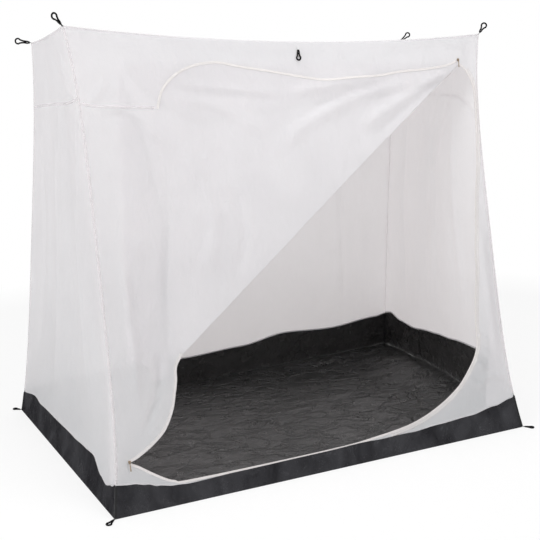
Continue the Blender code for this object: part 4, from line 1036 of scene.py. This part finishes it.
# Zip sliders and pullers
def build_slider(name, place):
    z = np.array(place[1] - PULLER_SIZE[2] / 2)
    outward = -front_inward(z)
    up_wall = np.cross(outward, (1, 0, 0))
    axes = np.array(((1.0, 0, 0), up_wall, outward))
    w, h, t = SLIDER_SIZE[0] / 2, SLIDER_SIZE[2] / 2, SLIDER_SIZE[1] / 2
    centre = front_point(place[0], np.array(place[1])) + outward * (CLOTH / 2 + SLIDER_CLEARANCE + t)
    outline = [(-w, h * 0.45), (-w * 0.8, h * 0.9), (-w * 0.3, h), (0, h * 0.78), (w * 0.3, h),
               (w * 0.8, h * 0.9), (w, h * 0.45), (w * 0.72, -h * 0.3), (w * 0.66, -h * 0.9), (w * 0.5, -h),
               (-w * 0.5, -h), (-w * 0.66, -h * 0.9), (-w * 0.72, -h * 0.3)]
    plate = ((0.0, 0.90), (0.0004, 1.0), (0.0012, 1.0), (0.0016, 0.90))
    low = slab(outline, [(v - t, k) for v, k in plate], centre, axes)
    high = slab(outline, [(t - 0.0016 + v, k) for v, k in plate], centre, axes)
    post = slab([(-0.0012, -0.002), (0.0012, -0.002), (0.0014, 0.002), (-0.0014, 0.002)],
                [(-t + 0.0008, 1.0), (0, 0.92), (t - 0.0008, 1.0)], centre, axes)
    hook = t + PULLER_GAP + PULLER_SIZE[1] / 2
    arch = [(0, 0.0046, t - 0.0006), (0, 0.0046, t + 0.0015), (0, 0.0030, hook + 0.0016),
            (0, 0, hook + 0.0019), (0, -0.0030, hook + 0.0016), (0, -0.0046, t + 0.0015),
            (0, -0.0046, t - 0.0006)]
    bridge = tube(resample(curve(arch), 0.0008) @ axes + centre, 0.00065, 7, axes[0])
    add_skins("slider_" + name + "_body", [low, high, post, bridge], METAL_FINISH, name + "_slider",
              "zip_metal", ("slider_" + name,))

    start = centre + outward * hook
    w = PULLER_SIZE[0] / 2 - 0.0006
    wire = [(w * 0.5, -0.0062), (w, -0.0045), (w, -0.0010), (w * 0.6, 0)]
    wire += [(-x, y) for x, y in reversed(wire)]
    wire = resample(curve([(x, y, 0) for x, y in wire]), 0.0006)
    ring = tube(wire @ axes + start, 0.0006, 7, axes[2])
    w, low = PULLER_SIZE[0] / 2, -PULLER_SIZE[2] + 0.0012
    grip = [(w * 0.55, -0.0058), (w * 0.8, -0.010), (w * 0.75, -0.016), (w, low + 0.006), (w, low + 0.002),
            (w * 0.6, low)]
    grip = [(-grip[0][0], grip[0][1])] + grip + [(-x, y) for x, y in reversed(grip[1:])]
    t = PULLER_SIZE[1] / 2
    pull = slab(grip, [(-t, 0.86), (-t * 0.5, 1.0), (t * 0.5, 1.0), (t, 0.86)], start, axes)
    add_skins("puller_" + name + "_tag", [ring, pull], METAL_FINISH, name + "_puller", "zip_metal",
              ("puller_" + name,))


build_slider("top", TOP_SLIDER)
build_slider("bottom", BOTTOM_SLIDER)

# Side and back walls, roof
SIDE_LENGTH = 1.36
BACK_LENGTH = 2.10
WALL_CREASES = {
    "left": ((((0.02, 1.49), (0.16, 1.55), (0.30, 1.66)), 0.018, 0.006),
             (((0.02, 1.47), (0.16, 1.38), (0.34, 1.10)), 0.020, 0.006),
             (((0.02, 1.48), (0.25, 1.49), (0.50, 1.48)), 0.010, 0.004),
             (((0.40, 1.20), (0.42, 0.80), (0.36, 0.30)), 0.035, 0.006),
             (((0.85, 1.35), (0.83, 0.90), (0.90, 0.25)), 0.035, 0.006),
             (((1.15, 1.30), (1.12, 0.80), (1.20, 0.30)), 0.030, -0.005)),
    "right": ((((0.02, 1.36), (0.14, 1.44), (0.32, 1.49)), 0.012, 0.004),
              (((0.26, 1.64), (0.48, 1.36), (0.60, 1.20), (0.76, 0.95)), 0.045, 0.007),
              (((0.36, 1.64), (0.60, 1.36), (0.74, 1.18), (0.88, 0.95)), 0.045, -0.006),
              (((0.30, 1.45), (0.36, 1.00), (0.33, 0.40)), 0.030, -0.006),
              (((0.70, 1.40), (0.66, 0.90), (0.72, 0.35)), 0.035, -0.006),
              (((1.05, 1.45), (1.10, 0.95), (1.04, 0.35)), 0.030, 0.005)),
    "back": ((((0.30, 1.45), (0.34, 0.90), (0.28, 0.25)), 0.035, -0.006),
             (((0.75, 1.40), (0.72, 0.85), (0.78, 0.25)), 0.040, 0.006),
             (((1.25, 1.42), (1.22, 0.80), (1.28, 0.25)), 0.040, -0.006),
             (((1.78, 1.40), (1.76, 0.90), (1.80, 0.30)), 0.012, -0.007),
             (((1.95, 1.50), (1.90, 1.10), (1.93, 0.50)), 0.030, 0.005)),
}


def cut_area(rows):
    """Area of a sheet before its creases, from rows of its points."""
    across, along_rows = np.diff(rows[:-1], axis=1), np.diff(rows[:, :-1], axis=0)
    return float(np.linalg.norm(np.cross(across, along_rows), axis=2).sum())


def wall_surface(name, place, rim, top, length, seed, outward):
    """Places (u, z) points on a hanging wall, u metres along it from its first edge."""
    creases = WALL_CREASES[name]

    def surface(points, depth=0.0):
        points = np.asarray(points, float)
        u, z = points[..., 0], points[..., 1]
        s = u / length
        height = 0.004 * noise(u * 2.6 + seed, z * 1.3, seed)
        height += 0.0015 * noise(u * 8, z * 4 + seed, seed + 1)
        height += relief(points.reshape(-1, 2), creases).reshape(u.shape)
        edge = np.minimum(np.minimum(u, length - u), np.minimum(z - rim(s), top(s) - z))
        stand = 1.5 * height * smooth_step(edge / 0.07) - depth
        return place(s, z) + np.asarray(outward, float) * stand[..., None]

    return surface


def back_at(s, z):
    return back_point(back_x(s, z), z)


def back_rim(s):
    return along(BACK_RIM, back_x(s, 0.15))


def back_top(s):
    return front_top(lerp(-TOP_HALF, TOP_HALF, s))


def left_rim(s):
    return along(LEFT_RIM, s)


def right_rim(s):
    return along(RIGHT_RIM, s)


# For each wall: its place, rim, top, length, seed and outward direction
WALLS = {
    "back": (back_at, back_rim, back_top, BACK_LENGTH, 21, (0, 1, 0)),
    "left": (lambda s, z: side_point(-1, s, z), left_rim, side_top, SIDE_LENGTH, 31, (-1, 0, 0)),
    "right": (lambda s, z: side_point(1, s, z), right_rim, side_top, SIDE_LENGTH, 41, (1, 0, 0)),
}
SURFACES = {name: wall_surface(name, *facts) for name, facts in WALLS.items()}
for name, (place, rim, top, length, seed, outward) in WALLS.items():
    columns, rows = int(length / CLOTH_STEP) + 1, int(HEIGHT / CLOTH_STEP) + 1
    s, t = np.meshgrid(np.linspace(0, 1, columns), np.linspace(0, 1, rows))
    flat = stack(s * length, lerp(rim(s) - 0.003, top(s), t), 0)[..., :2]
    piece = grid_piece(name + "_wall", SURFACES[name](flat), WALL_FINISH, "cabin", "wall_cloth",
                       (name + "_wall_lower", name + "_wall_upper"), flat)
    cut_area(place(flat[..., 0] / length, flat[..., 1]))

ROOF_WIDTH, ROOF_REACH = 1.86, 0.69
s, t = np.meshgrid(np.linspace(0, 1, 125), np.linspace(0, 1, 47))
points = roof_point(s, t)
edge = np.minimum(np.minimum(s, 1 - s) * ROOF_WIDTH, np.minimum(t, 1 - t) * ROOF_REACH)
unevenness = 0.004 * noise(s * 7, t * 4, 51) + 0.0015 * noise(s * 25, t * 11, 52)
points[..., 2] += unevenness * smooth_step(edge / 0.08)
roof = grid_piece("roof_cloth", points, ROOF_FINISH, "cabin", "wall_cloth", ("roof",),
                  stack(s * ROOF_WIDTH, t * ROOF_REACH, 0)[..., :2])


# Felled seams: how far each reaches along its two walls, and stands off them
CORNER_REACH = 0.0065
TRAY_SEAM_REACH = 0.0070
ROOF_SEAM_REACH = 0.0060
SEAM_HEIGHT = 0.0013
TRAY_SEAM_HEIGHT = 0.0024


def edge_band(name, line, first, second, reach, height, material, slot, nodes=()):
    """A seam band bent round an edge. first and second give each wall's direction and outward normal."""
    (t1, n1), (t2, n2) = first, second
    section = ((1, 0.2, 0, 0), (0.93, 1, 0, 0), (0.25, 1.1, 0, 0), (0, 0.9, 0, 0.9), (0, 0, 0.25, 1.1),
               (0, 0, 0.93, 1), (0, 0, 1, 0.2), (0, 0, 0.93, 0.1), (0, 0.1, 0, 0.1), (0.93, 0.1, 0, 0))
    rows = [line + reach * (a1 * t1 + a2 * t2) + height * (b1 * n1 + b2 * n2) for a1, b1, a2, b2 in section]
    across = [reach * (a2 - a1) for a1, b1, a2, b2 in section]
    add_skins(name, [skin(np.stack(rows, axis=1), across)], material, "cabin", slot, nodes)


def wall_frame(side, end, z):
    """At an upright edge: each wall's direction away from the edge, and its outward normal."""
    across = np.broadcast_to((-side, 0.0, 0.0), (len(z), 3))
    out = -front_inward(z) if end < 0 else np.broadcast_to((0.0, 1.0, 0.0), (len(z), 3))
    back = corner(side, 1, z) - corner(side, -1, z)
    back = -end * back / np.linalg.norm(back, axis=1, keepdims=True)
    side_out = np.array((float(side), 0, 0)) - back * back[:, :1] * side
    return (across, out), (back, side_out / np.linalg.norm(side_out, axis=1, keepdims=True))


for place, side, end in CORNERS:
    foot = corner(side, end, np.array(0.0))
    base = float(lift(foot[0], foot[1])) + 0.003
    rim = min(float((left_rim if side < 0 else right_rim)(0.0 if end < 0 else 1.0)),
              float(along(FRONT_RIM if end < 0 else BACK_RIM, foot[0])))
    z = np.linspace(rim - 0.001, HEIGHT - 0.004, 150)
    edge_band("seam_" + place, corner(side, end, z), *wall_frame(side, end, z), CORNER_REACH,
              SEAM_HEIGHT, SEAM_FINISH, "seam_tape", ("corner_seam_" + place,))
    z = np.linspace(base, rim - 0.008, 16)
    edge_band("tray_seam_" + place, corner(side, end, z), *wall_frame(side, end, z), TRAY_SEAM_REACH,
              TRAY_SEAM_HEIGHT, TRAY_SEAM_FINISH, "tray_cloth")

shares = np.linspace(0.003, 0.997, 150)
across, deep, high = np.eye(3)
for name, line, wall_down, wall_out, roof_in in (
        ("front", roof_point(shares, 0 * shares), (0, -0.2, -0.98), (0, -0.98, 0.2), deep),
        ("back", roof_point(shares, 0 * shares + 1), (0, 0.17, -0.985), (0, 0.985, 0.17), -deep),
        ("left", roof_point(0 * shares, shares), -high, -across, across),
        ("right", roof_point(0 * shares + 1, shares), -high, across, -across)):
    edge_band("roof_band_" + name, line, (np.array(wall_down), np.array(wall_out)), (roof_in, high),
              ROOF_SEAM_REACH, SEAM_HEIGHT, SEAM_FINISH, "seam_tape", ("roof_seam_" + name,))

# The level seam under the top edge, on each wall
LEVEL_HALF = 0.0045
for name, place, line in (
        ("front", on_front,
         ((-0.882, 1.474), (-0.86, 1.466), (-0.819, 1.461), (-0.70, 1.455), (-0.615, 1.452))),
        ("left", SURFACES["left"],
         ((0.007, 1.494), (0.06, 1.486), (0.30, 1.478), (0.80, 1.482), (1.353, 1.478))),
        ("right", SURFACES["right"],
         ((0.007, 1.350), (0.07, 1.400), (0.16, 1.445), (0.30, 1.480), (0.72, 1.492), (1.353, 1.480))),
        ("back", SURFACES["back"], ((0.007, 1.478), (0.70, 1.484), (1.40, 1.478), (2.093, 1.480)))):
    lay_band("level_seam_" + name, resample(curve(line), 0.02), place, (-LEVEL_HALF, LEVEL_HALF), 0.0016,
             SEAM_FINISH, "seam_tape", stand=0.0022)

# The seam that joins the walls to the tray
RIM_HALF = 0.0028
for name, place, u0, u1, rim in (
        ("front", on_front, -0.916, -0.600, lambda u: along(FRONT_RIM, u)),
        ("front_right", on_front, 0.420, 0.916, lambda u: along(FRONT_RIM, u)),
        ("left", SURFACES["left"], 0.008, 1.352, lambda u: left_rim(u / SIDE_LENGTH)),
        ("right", SURFACES["right"], 0.008, 1.352, lambda u: right_rim(u / SIDE_LENGTH)),
        ("back", SURFACES["back"], 0.008, 2.092, lambda u: back_rim(u / BACK_LENGTH))):
    u = np.linspace(u0, u1, int((u1 - u0) / 0.010))
    line = np.stack([u, rim(u) + RIM_HALF], axis=1)
    lay_band("rim_seam_" + name, line, place, (-RIM_HALF, RIM_HALF), 0.0030, RIM_FINISH, "seam_tape")


# A facing sewn inside the left wall, along its front edge
u, t = np.meshgrid(np.linspace(0.006, 0.085, 14), np.linspace(0, 1, 120))
z = lerp(left_rim(u / SIDE_LENGTH) + 0.004, 1.43, t)
flat = stack(u, z, 0)[..., :2]
piece = grid_piece("left_facing", SURFACES["left"](flat, 0.003), WALL_FINISH, "cabin", "wall_cloth", (),
                   flat)

# Groundsheet tray. Along the sill it reaches up over the zip's tape
SILL_RISE = ((-1.0, 0.0), (-0.70, 0.0), (-0.60, 0.002), (-0.45, 0.006), (-0.10, 0.009), (0.08, 0.009),
             (0.25, 0.004), (0.40, 0.0), (1.0, 0.0))


def tray_sheet(name, place, rim, length, seed, outward, material=SHADED_OUTER_TRAY_FINISH, settle=0.03, stand=0.0006):
    """One upright side of the tray. Its unevenness fades out over the settle distance from each end."""
    columns, rows = int(length / 0.008) + 1, 22
    s, t = np.meshgrid(np.linspace(0, 1, columns), np.linspace(0, 1, rows))
    foot = place(s, 0 * s)
    z = lerp(lift(foot[..., 0], foot[..., 1]) + 0.0008, rim(s) + 0.001, t)
    points = place(s, z)
    area = cut_area(points)
    u = s * length
    fade = smooth_step(np.minimum(np.minimum(u, length - u) / settle, np.minimum(t, 1 - t) / 0.30))
    lean = u + 0.35 * z
    bulge = 0.0030 * np.abs(noise(lean * 13 + seed, z * 5, seed))
    bulge = bulge + 0.0013 * noise(lean * 40, z * 12, seed + 1)
    points += np.asarray(outward, float) * (np.maximum(bulge, 0) * fade + stand)[..., None]
    flat = stack(u, z, 0)[..., :2]
    piece = grid_piece("tray_" + name + "_cloth", points, material, "cabin", "tray_cloth", ("tray_" + name,),
                       flat)
    high = float(rim(np.linspace(0, 1, 50)).max())


def front_tray_rim(s):
    x = front_x(s, 0.1)
    return along(FRONT_RIM, x) + along(SILL_RISE, x)


# The front and left sides take the darker copy of the cloth (painted shade), the back and right sides the
# lighter copy (painted light)
tray_sheet("front", lambda s, z: front_point(front_x(s, z), z), front_tray_rim, 1.87, 61,
           (0, -1, 0), stand=0.0018)
tray_sheet("back", back_at, back_rim, 2.12, 63, (0, 1, 0), LIT_INNER_TRAY_FINISH, 0.25)
tray_sheet("left", WALLS["left"][0], left_rim, 1.36, 65, (-1, 0, 0))
tray_sheet("right", WALLS["right"][0], right_rim, 1.36, 67, (1, 0, 0), LIT_INNER_TRAY_FINISH, 0.25)

s, t = np.meshgrid(np.linspace(0, 1, 210), np.linspace(0, 1, 140))
half = lerp(FLOOR_FRONT_HALF, FLOOR_BACK_HALF, t)
edge = np.minimum(np.minimum(s, 1 - s) * 2 * half, np.minimum(t, 1 - t) * DEPTH)
curl = (0.004 + 0.004 * noise(s * 21, t * 17, 73)) * np.clip(1 - edge / 0.025, 0, 1) ** 2
inset = 0.0012 + 0.2 * curl
y = lerp(-DEPTH / 2, DEPTH / 2, t)
z = lift(lerp(-half, half, s), y)
left_edge, right_edge = side_point(-1, t, z + 0.01), side_point(1, t, z + 0.01)
x = lerp(left_edge[..., 0] + inset, right_edge[..., 0] - inset, s)
y = lerp(front_point(x, z + 0.003)[..., 1] + inset, back_point(x, z + 0.01)[..., 1] - inset, t)
folds = 0.0048 * np.abs(noise(x * 6 + y * 4, y * 10, 71))
folds = folds + 0.0020 * np.abs(noise(x * 15 - y * 12, y * 26, 72))
points = stack(x, y, z + 0.0022 + curl + folds * smooth_step(edge / 0.05))
floor_cloth = grid_piece("floor_cloth", points, FLOOR_FINISH, "cabin", "tray_cloth", ("floor_sheet",),
                         points[..., :2])


# Light and floor
def area_light(name, place, aim, size, power):
    data = bpy.data.lights.new(name, "AREA")
    data.size = size
    data.energy = power
    lamp = bpy.data.objects.new(name, data)
    lamp.location = place
    lamp.rotation_euler = (Vector(aim) - Vector(place)).to_track_quat("-Z", "Y").to_euler()
    bpy.context.scene.collection.objects.link(lamp)


area_light("key", (-4.6, -1.6, 3.2), (0, 0, 1.0), 3.0, 104)
area_light("fill", (1.6, -3.4, 3.4), (0, -0.4, 1.4), 2.4, 31)
area_light("top", (0.1, -1.15, 2.9), (0.1, -0.35, 1.7), 1.2, 13)

# The world is white to the camera, also through the cloth, and dimmer as a light
f = Finish(bpy.data.worlds.new("studio"), "ShaderNodeOutputWorld")
rays = f.node("LightPath").outputs
clear = f.maths("MAXIMUM", rays["Is Camera Ray"], rays["Is Transmission Ray"])
strength = f.node("MapRange", Value=clear, To_Min=0.74, To_Max=1.0).outputs[0]
sky = f.node("Background", Color=(1.0, 1.0, 1.0, 1.0), Strength=strength)
bpy.context.scene.world = f.finish(sky.outputs[0])

f = Finish(bpy.data.materials.new("studio_floor"))
# The floor takes shadow near the cabin and turns to the background's white further off
FAR = 4.0
LEAST_WHITE = 0.78
place = f.node("TexCoord").outputs["Object"]
distance = f.node("VectorMath", {"operation": "LENGTH"}, Vector=place).outputs["Value"]
far = f.maths("MULTIPLY", distance, 1 / FAR, clamp=True)
seen = f.node("LightPath").outputs["Is Camera Ray"]
share = f.maths("MULTIPLY", seen, f.maths("MAXIMUM", far, LEAST_WHITE))
dull = f.node("BsdfDiffuse", Color=(0.90, 0.90, 0.90, 1.0))
bright = f.node("Emission", Color=(1.0, 1.0, 1.0, 1.0), Strength=1.0)
floor_mesh = bpy.data.meshes.new("studio_floor")
reach = 14.0
corners = [(-reach, -reach, 0), (reach, -reach, 0), (reach, reach, 0), (-reach, reach, 0)]
floor_mesh.from_pydata(corners, [], [(0, 1, 2, 3)])
floor_mesh.materials.append(f.finish(f.mix(share, dull, bright).outputs[0]))
studio_floor = bpy.data.objects.new("studio_floor", floor_mesh)
studio_floor.location = (0, 0, -0.0005)
bpy.context.scene.collection.objects.link(studio_floor)
